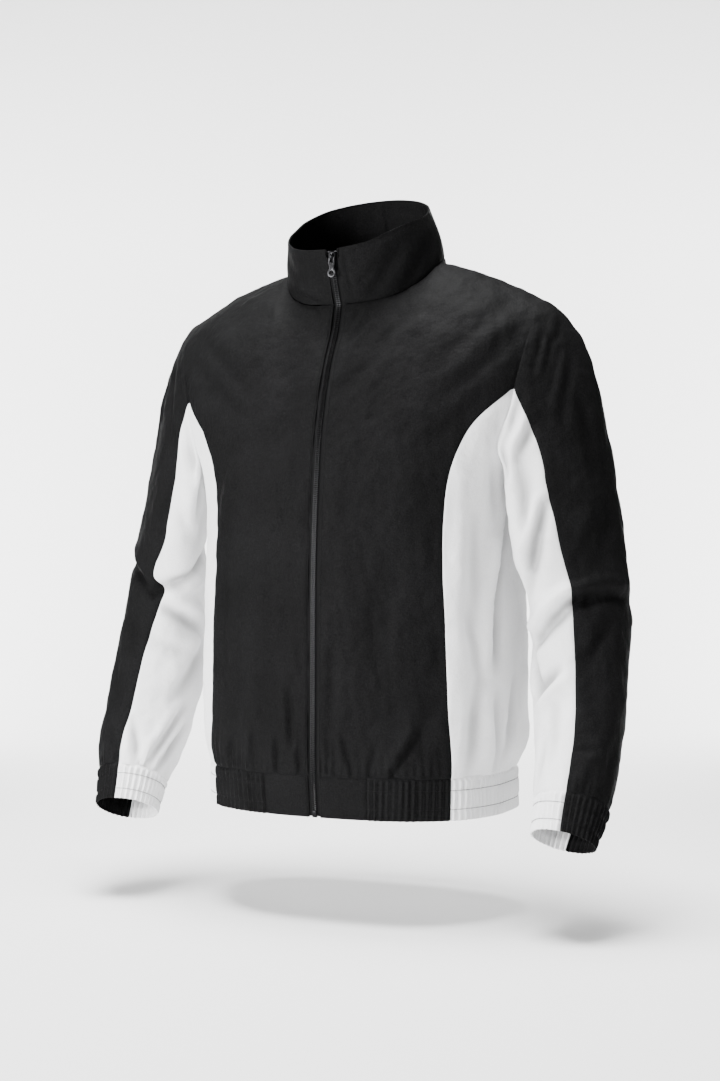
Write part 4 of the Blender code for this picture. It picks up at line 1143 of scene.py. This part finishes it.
# Half widths of the flat strips on the upper seam and on a row of stitching, the share of a rib's
# height that the stitching takes away, and how far in from a band's ends it fades.
SEAM_STRIP, STITCH_STRIP, STITCH_PINCH, BAND_END = 0.0022, 0.0017, 0.80, 0.005
LIP_SINK, LIP_RISE = 0.0017, 0.0016      # of the upper edge, turned in behind the cloth
TAB_END, TAB_SINK = 0.003, 0.0016        # of a flat tab's end, turned in behind the ribs


def pinch(share, height):
    """1 away from the seam and the rows of stitching, and close to 0 on them."""
    keep = 1 - np.exp(-(((1 - share) * height / SEAM_STRIP) ** 2))
    for row in STITCH_ROWS:
        near = np.exp(-(((share - row) * height / STITCH_STRIP) ** 2))
        keep = keep * (1 - STITCH_PINCH * near)
    return keep


def band_piece(name, place, pitch, low, high, white, gathered=True):
    """One band: place(share round it, height) gives its plain face."""
    finish, slot = NYLON[white]
    rough = place(np.linspace(0, 1, 60), np.full(60, high))
    length = np.linalg.norm(np.diff(rough, axis=0), axis=1).sum()
    ribs = max(1, round(length / pitch))
    around = np.linspace(0, 1, (BAND_FINES * ribs if gathered else TAB_COLUMNS) + 1)
    up = BAND_SHARES[:, None]
    plain = place(around[None, :] + 0 * up, low + (high - low) * up + 0 * around[None, :])
    out = along_normals(plain)
    along = around * length
    ends = np.clip(np.minimum(along, length - along) / BAND_END, 0, 1)
    if gathered:
        phase = 2 * math.pi * ribs * around
        phase = phase + 1.1 * wandering(along, 0.018) * np.sin(math.pi * around)
        tall = RIB_HEIGHT * (0.68 + 0.32 * wandering(along, 0.011))
        wave = (0.5 - 0.5 * np.cos(phase)) ** 0.9
        split = 0.0005 * np.cos(2.0 * phase + 1.0) * (0.5 + 0.5 * wandering(along, 0.009)) * ends
        lean = np.cos(phase[None, :] + 2.2 * up + 1.5 * wandering(along, 0.02)[None, :])
        lean = 0.0003 * lean * np.sin(math.pi * around)
        shift = ((tall * wave + split)[None, :] + lean) * pinch(up, high - low)
    else:
        shift = 0.0004 * pinch(up, high - low) * ends
    for distance in edge_distance(plain)[1:]:
        shift = shift + seam_profile(distance)
    lip = plain[-1] - out[-1] * LIP_SINK + points(0, 0, LIP_RISE)
    grid = plain + out * shift[..., None]
    tucked = np.concatenate([grid, lip[None]])
    if not gathered:
        at, near = (-1, -2) if "left" in name else (0, 1)
        beyond = unit(tucked[:, at] - tucked[:, near]) * TAB_END
        turned_in = tucked[:, at] + beyond - np.concatenate([out, out[-1:]])[:, at] * TAB_SINK
        parts = [tucked, turned_in[:, None]] if at == -1 else [turned_in[:, None], tucked]
        tucked = np.concatenate(parts, axis=1)
    made = cloth(f"cloth_{name}", tucked, BAND_CLOTH, finish, round_edge=BAND_EDGE)
    declare(made, name)
    return grid


def hem_bands():
    """The seven pieces of the hem, from the zip round the body and back to it."""
    placket = math.degrees(math.atan(PLACKET_HALF / float(TORSO.at("front", HEM_SEAM))))
    front, back = (float(PRINCESS.at(word, HEM_SEAM)) for word in ("front", "back"))
    stretches = (
        ("hem_tab_left", placket, HEM_TAB_ANGLE, False, False),
        ("hem_front_left", HEM_TAB_ANGLE, front, True, False),
        ("hem_side_left", front, back, True, True),
        ("hem_back", back, 360 - back, True, False),
        ("hem_side_right", -back, -front, True, True),
        ("hem_front_right", -front, -HEM_TAB_ANGLE, True, False),
        ("hem_tab_right", -HEM_TAB_ANGLE, -placket, False, False),
    )
    made = {}
    for name, start, end, gathered, white in stretches:

        def place(share, height, start=start, end=end):
            return torso(start + (end - start) * share, height)

        made[name] = band_piece(name, place, RIB_PITCH, HEM_BOTTOM, HEM_SEAM, white, gathered)
    return made


def cuff_bands():
    made = {}
    for word, turn in (("left", 1.0), ("right", -1.0)):
        for part, white in (("outer", False), ("inner", True)):

            def place(share, height, word=word, part=part, turn=turn):
                ends = seam_angles(word, part, height, np.array([0.0, 1.0]))
                share = share if turn > 0 else 1 - share
                angle = ends[..., 0] + (ends[..., 1] - ends[..., 0]) * share
                return sleeve_tube(angle, height) * np.array([turn, 1.0, 1.0])

            name = f"cuff_{part}_{word}"
            made[name] = band_piece(name, place, CUFF_RIB_PITCH, CUFF_BOTTOM, CUFF_SEAM, white)
    return made


bands = {**hem_bands(), **cuff_bands()}
print("bands:", len(bands))

# %% [markdown]
# ## Rows of small things
#
# Zip teeth and stitches both repeat along a line, so one Geometry Nodes tree lays both: it takes
# a line whose points know which way is up along the line and which way is out of the cloth, walks
# along it at a fixed pitch, and puts a small piece at each step.


# %% The tree that lays pieces along a line
def row_tree():
    tree = bpy.data.node_groups.new("pieces_along_a_line", "GeometryNodeTree")
    face = tree.interface
    kinds = {"Line": "Geometry", "Piece": "Object", "Pitch": "Float", "Finish": "Material"}
    sockets = {
        name: face.new_socket(name, in_out="INPUT", socket_type=f"NodeSocket{kind}")
        for name, kind in kinds.items()
    }
    face.new_socket("Row", in_out="OUTPUT", socket_type="NodeSocketGeometry")
    new = tree.nodes.new
    given, result = new("NodeGroupInput"), new("NodeGroupOutput")
    curve, steps = new("GeometryNodeMeshToCurve"), new("GeometryNodeResampleCurve")
    to_points, turn = new("GeometryNodeCurveToPoints"), new("FunctionNodeAxesToRotation")
    piece, lay = new("GeometryNodeObjectInfo"), new("GeometryNodeInstanceOnPoints")
    real, paint = new("GeometryNodeRealizeInstances"), new("GeometryNodeSetMaterial")
    steps.mode, to_points.mode = "LENGTH", "EVALUATED"
    turn.primary_axis, turn.secondary_axis = "Y", "Z"
    for name, socket in (("upward", "Primary Axis"), ("outward", "Secondary Axis")):
        read = new("GeometryNodeInputNamedAttribute")
        read.data_type = "FLOAT_VECTOR"
        read.inputs["Name"].default_value = name
        join(tree, (read, "Attribute", turn, socket))
    join(
        tree,
        (given, "Line", curve, "Mesh"), (curve, "Curve", steps, "Curve"),
        (given, "Pitch", steps, "Length"), (steps, "Curve", to_points, "Curve"),
        (given, "Piece", piece, "Object"), (to_points, "Points", lay, "Points"),
        (piece, "Geometry", lay, "Instance"), (turn, "Rotation", lay, "Rotation"),
        (lay, "Instances", real, "Geometry"), (real, "Geometry", paint, "Geometry"),
        (given, "Finish", paint, "Material"), (paint, "Geometry", result, "Row"),
    )
    return tree, {name: socket.identifier for name, socket in sockets.items()}


ROW_TREE, ROW_SOCKETS = row_tree()


def lay_row(name, lines, piece, pitch, finish):
    """Lays a piece along every line. A line is (points, upward directions, outward ones)."""
    verts, edges, ups, outs = [], [], [], []
    for places, upward, outward in lines:
        first = len(verts)
        verts += [tuple(p) for p in places]
        edges += [(first + i, first + i + 1) for i in range(len(places) - 1)]
        ups.append(upward)
        outs.append(outward)
    mesh = bpy.data.meshes.new(name)
    mesh.from_pydata(verts, edges, [])
    for word, values in (("upward", ups), ("outward", outs)):
        layer = mesh.attributes.new(word, "FLOAT_VECTOR", "POINT")
        layer.data.foreach_set("vector", np.concatenate(values).astype(np.float32).reshape(-1))
    made = placed(name, mesh)
    rows = made.modifiers.new("row", "NODES")
    rows.node_group = ROW_TREE
    for word, value in (("Piece", piece), ("Pitch", pitch), ("Finish", finish)):
        rows[ROW_SOCKETS[word]] = value
    finished(made)
    print(f"{name}: {len(lines)} lines, {len(made.data.polygons)} faces")
    return made


# %% Plain finishes for thread, tape and metal
def plain_finish(name, colour, roughness, metallic=0.0, grain=0.0, gloss=0.5):
    """A finish with a faint grain, so that even a small piece isn't quite even."""
    made, tree, shader = new_finish(name, gloss)
    shader.inputs["Metallic"].default_value = metallic
    place = node(tree, "ShaderNodeTexCoord")
    noise = node(tree, "ShaderNodeTexNoise", Scale=900.0, Detail=3.0)
    rough = spread(tree, To_Min=roughness - grain, To_Max=roughness + grain)
    ramp = node(tree, "ShaderNodeValToRGB")
    for element, tone in zip(ramp.color_ramp.elements, (0.85, 1.15)):
        element.color = (*(tone * c for c in colour), 1)
    bump = node(tree, "ShaderNodeBump", Strength=0.3, Distance=0.00004)
    join(
        tree,
        (place, "Object", noise, "Vector"), (noise, "Fac", rough, "Value"),
        (rough, "Result", shader, "Roughness"), (noise, "Fac", ramp, "Fac"),
        (ramp, "Color", shader, "Base Color"), (noise, "Fac", bump, "Height"),
        (bump, "Normal", shader, "Normal"),
    )
    return made


black_thread = plain_finish("black_thread", (0.004, 0.004, 0.0042), 0.60, grain=0.05, gloss=0.05)
grey_thread = plain_finish("grey_thread", (0.075, 0.075, 0.076), 0.60, grain=0.05, gloss=0.1)
tape_finish = plain_finish("woven_tape", (0.0050, 0.0050, 0.0052), 0.80, grain=0.05, gloss=0.03)
tooth_metal = plain_finish("tooth_metal", (0.013, 0.013, 0.0135), 0.36, 1.0, 0.05)
dark_metal = plain_finish("dark_metal", (0.008, 0.008, 0.0085), 0.32, 1.0, 0.06)
pull_metal = plain_finish("pull_metal", (0.024, 0.024, 0.025), 0.38, 1.0, 0.06)
print("finishes:", len(bpy.data.materials))

# %% [markdown]
# ## Stitching
#
# Each stitch is a short, slightly arched length of thread that dips into the cloth at both ends.
# It is made once, with few faces, because there are more than a thousand of them.


# %% One stitch
def stitch_piece(name, length, width):
    """A thread bead along Y that stands on the cloth, thin at both ends."""
    # place along the stitch, thickness, lift off the cloth
    half = ((-0.5, 0.25, -0.15), (-0.3, 0.85, 0.25))
    rings = (*half, (0.0, 1.0, 0.38), *((-y, thick, lift) for y, thick, lift in reversed(half)))
    sides = 5
    verts, faces = [], []
    for along, thick, lift in rings:
        for i in range(sides):
            turn = 2 * math.pi * i / sides
            verts.append((
                thick * width / 2 * math.cos(turn),
                along * length,
                width * lift + thick * width / 2 * math.sin(turn),
            ))
    for r in range(len(rings) - 1):
        for i in range(sides):
            j = (i + 1) % sides
            a, b = r * sides, (r + 1) * sides
            faces.append((a + i, b + i, b + j, a + j))
    faces.append(tuple(range(sides)))
    faces.append(tuple(reversed(range((len(rings) - 1) * sides, len(rings) * sides))))
    mesh = bpy.data.meshes.new(name)
    mesh.from_pydata(verts, [], faces)
    box = bmesh.new()
    box.from_mesh(mesh)
    bmesh.ops.recalc_face_normals(box, faces=box.faces)
    box.to_mesh(mesh)
    box.free()
    return bpy.data.objects.new(name, mesh)


STITCH_PITCH, EDGE_STITCHES = 0.0027, 0.0030
stitch = stitch_piece("one_stitch", 0.0022, 0.00060)
grey_stitch = stitch_piece("one_grey_stitch", 0.0025, 0.00090)


def as_line(places, outward):
    return places, unit(np.gradient(places, axis=0)), outward


def band_line(grid, share):
    """The line along a band at a share of its height, counted in real height."""
    low = np.searchsorted(BAND_SHARES, share) - 1
    part = (share - BAND_SHARES[low]) / (BAND_SHARES[low + 1] - BAND_SHARES[low])
    out = along_normals(grid)
    places = grid[low] * (1 - part) + grid[low + 1] * part
    return as_line(places, unit(out[low] * (1 - part) + out[low + 1] * part))


def edge_line(grid, first_edge):
    """The line up a piece, beside its first or its last edge."""
    read = []
    for values in (grid, along_normals(grid)):
        for gaps, row in zip(edge_distance(grid)[2 if first_edge else 3], values):
            order = np.argsort(gaps)
            read.append([np.interp(EDGE_STITCHES, gaps[order], row[order, k]) for k in range(3)])
    places, outward = np.array(read).reshape(2, -1, 3)
    return as_line(places, unit(outward))


black_lines, white_lines = [], []
for name, grid in bands.items():
    if "tab" not in name:
        lines = white_lines if "side" in name or "inner" in name else black_lines
        lines += [band_line(grid, share) for share in STITCH_ROWS]
for pieces, kind in ((grids, "front"), (bands, "hem_tab")):
    for word in ("left", "right"):
        black_lines.append(edge_line(pieces[f"{kind}_{word}"], word == "left"))
black_rows = lay_row("stitches_black", black_lines, stitch, STITCH_PITCH, black_thread)
white_rows = lay_row("stitches_grey", white_lines, grey_stitch, STITCH_PITCH, grey_thread)
for made, slot in ((black_rows, BLACK_SLOT), (white_rows, WHITE_SLOT)):
    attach(made, "garment")

# %% [markdown]
# ## Zip
#
# The zip lies between the two folded edges of the fronts. Its tapes are woven, with a thick cord
# along the inner edge that each metal tooth is clamped on. Teeth of the two sides alternate. The
# slider sits at the very top, so above it the last teeth stand apart.


# %% The zip's middle line
def zip_line():
    """The zip's middle line from hem to rim: points, upward directions and outward normals."""
    hem = torso(0.0, np.linspace(HEM_BOTTOM, HEM_SEAM, 12)[:-1])
    line = np.concatenate([hem, half_panel(True)[:, 0], collar_grid()[1:, 0]])
    line[:, 0] = 0.0
    upward = unit(np.gradient(line, axis=0))
    # The kink at the neck seam is softened, because tape and teeth are stiffer than the cloth.
    for _ in range(SMOOTHING_PASSES):
        upward[1:-1] = unit(upward[:-2] + 2 * upward[1:-1] + upward[2:])
    return line, upward, np.cross(np.array([1.0, 0.0, 0.0]), upward)


ZIP_POINTS, ZIP_UP, ZIP_OUT = zip_line()
SLIDER_HEIGHT, TAPE_TOP = 0.0228, 0.0300


def zip_stations(heights, across=0.0, sunk=0.0):
    """Points beside the zip's middle line at some heights, sunk into the garment."""
    read = [
        np.stack([np.interp(heights, ZIP_POINTS[:, 2], part[:, k]) for k in range(3)], axis=-1)
        for part in (ZIP_POINTS, ZIP_UP, ZIP_OUT)
    ]
    out = unit(read[2])
    return read[0] - out * sunk + np.array([across, 0.0, 0.0]), unit(read[1]), out


print("zip length:", round(float(np.linalg.norm(np.diff(ZIP_POINTS, axis=0), axis=1).sum()), 3))

# %% Tapes
TAPE_SINK, TAPE_THICKNESS, TAPE_ROWS = 0.0022, 0.0006, 340
TAPE_PROFILE = (
    # distance across, height above the tape's plain face
    (0.0001, -0.0001), (0.0006, 0.0001), (0.0009, 0.0006), (0.0018, 0.0008), (0.0028, 0.0006),
    (0.0034, 0.0001), (0.0042, 0.0), (0.0060, 0.0001), (0.0078, 0.0), (0.0105, 0.0),
)
for word, turn in (("left", 1.0), ("right", -1.0)):
    heights = np.linspace(HEM_BOTTOM + 0.001, TAPE_TOP, TAPE_ROWS)
    columns = [zip_stations(heights, turn * x, TAPE_SINK - up)[0] for x, up in TAPE_PROFILE]
    tape_grid = np.stack(columns if turn > 0 else columns[::-1], axis=1)
    tape = cloth(f"cloth_zip_tape_{word}", tape_grid, TAPE_THICKNESS, tape_finish)
    declare(tape, f"zip_tape_{word}")

# %% Teeth
TOOTH_PITCH, TOOTH_BEVEL = 0.0026, 0.00022
# distance from the middle line, width, height and depth of a tooth's block and of its head
TOOTH_PARTS = ((0.0019, 0.0022, 0.0011, 0.0021), (0.0004, 0.0018, 0.0009, 0.0015))


def tooth_piece(name, turn):
    """One metal tooth: a block clamped on the tape's cord, with a narrower head that locks."""
    mesh = bpy.data.meshes.new(name)
    box = bmesh.new()
    for x, width, height, depth in TOOTH_PARTS:
        made = bmesh.ops.create_cube(box, size=1.0)["verts"]
        bmesh.ops.scale(box, vec=(width, height, depth), verts=made)
        bmesh.ops.translate(box, vec=(turn * x, 0.0, 0.0), verts=made)
    edges = list(box.edges)
    bmesh.ops.bevel(box, geom=edges, offset=TOOTH_BEVEL, segments=1, affect="EDGES", profile=0.5)
    box.to_mesh(mesh)
    box.free()
    return bpy.data.objects.new(name, mesh)


CHAIN_FOOT, CHAIN_TOP, CHAIN_POINTS = HEM_BOTTOM + 0.0086, SLIDER_HEIGHT - 0.0050, 700
# Above the slider the two sides part and follow the edges of the opening.
OPEN_HEIGHTS = np.linspace(SLIDER_HEIGHT + 0.0045, TAPE_TOP - 0.0010, 8)
OPEN_APART = np.linspace(0.0009, 0.0030, 8)
CHAIN_SINK, OPEN_SINK = TAPE_SINK - 0.0013, TAPE_SINK - 0.0009
for word, turn, offset in (("left", 1.0, 0.0), ("right", -1.0, TOOTH_PITCH / 2)):
    heights = np.linspace(CHAIN_FOOT + offset, CHAIN_TOP, CHAIN_POINTS)
    line = zip_stations(heights, 0.0, CHAIN_SINK)
    opened = zip_stations(OPEN_HEIGHTS, 0.0, OPEN_SINK)
    opened[0][:, 0] += turn * OPEN_APART
    tooth = tooth_piece(f"one_tooth_{word}", turn)
    row = lay_row(f"zip_teeth_{word}", [line, opened], tooth, TOOTH_PITCH, tooth_metal)
    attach(row, "garment")
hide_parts("zip_chain")

# %% [markdown]
# The slider, the pull tab and the box at the foot of the zip keep the shapes of their solids,
# with their edges rounded over as cast and plated metal has them.


# %% Slider, pull tab and foot of the zip
def rounded_copy(node_name, name, finish, body, width):
    """A copy of a solid with its edges rounded, in a finer finish."""
    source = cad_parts[node_name]
    made = placed(name, source.data.copy())
    box = bmesh.new()
    box.from_mesh(made.data)
    bmesh.ops.remove_doubles(box, verts=box.verts, dist=0.00002)
    bmesh.ops.dissolve_limit(box, angle_limit=math.radians(1.0), verts=box.verts, edges=box.edges)
    box.to_mesh(made.data)
    box.free()
    made.data.materials.clear()
    made.data.materials.append(finish)
    bevel = made.modifiers.new("edge", "BEVEL")
    bevel.width, bevel.segments, bevel.limit_method = width, 2, "ANGLE"
    bevel.angle_limit = SOLID_EDGE_ANGLE
    finished(made)
    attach(made, body)
    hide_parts(node_name)
    print(f"{name}: {len(made.data.polygons)} faces")


rounded_copy("slider", "zip_slider", dark_metal, "garment", 0.00025)
rounded_copy("zip_box", "zip_foot", dark_metal, "garment", 0.00030)
rounded_copy("pull_tab", "zip_pull", pull_metal, "pull", 0.00022)

# %% Backdrop finish
PAPER_TONE, PAPER_ROUGHNESS = 0.76, 0.9
paper = bpy.data.materials.new("studio_paper")
paper.use_nodes = True
shader = paper.node_tree.nodes["Principled BSDF"]
shader.inputs["Base Color"].default_value = (PAPER_TONE, PAPER_TONE, PAPER_TONE, 1)
shader.inputs["Roughness"].default_value = PAPER_ROUGHNESS
backdrop.data.materials.append(paper)
print("backdrop painted")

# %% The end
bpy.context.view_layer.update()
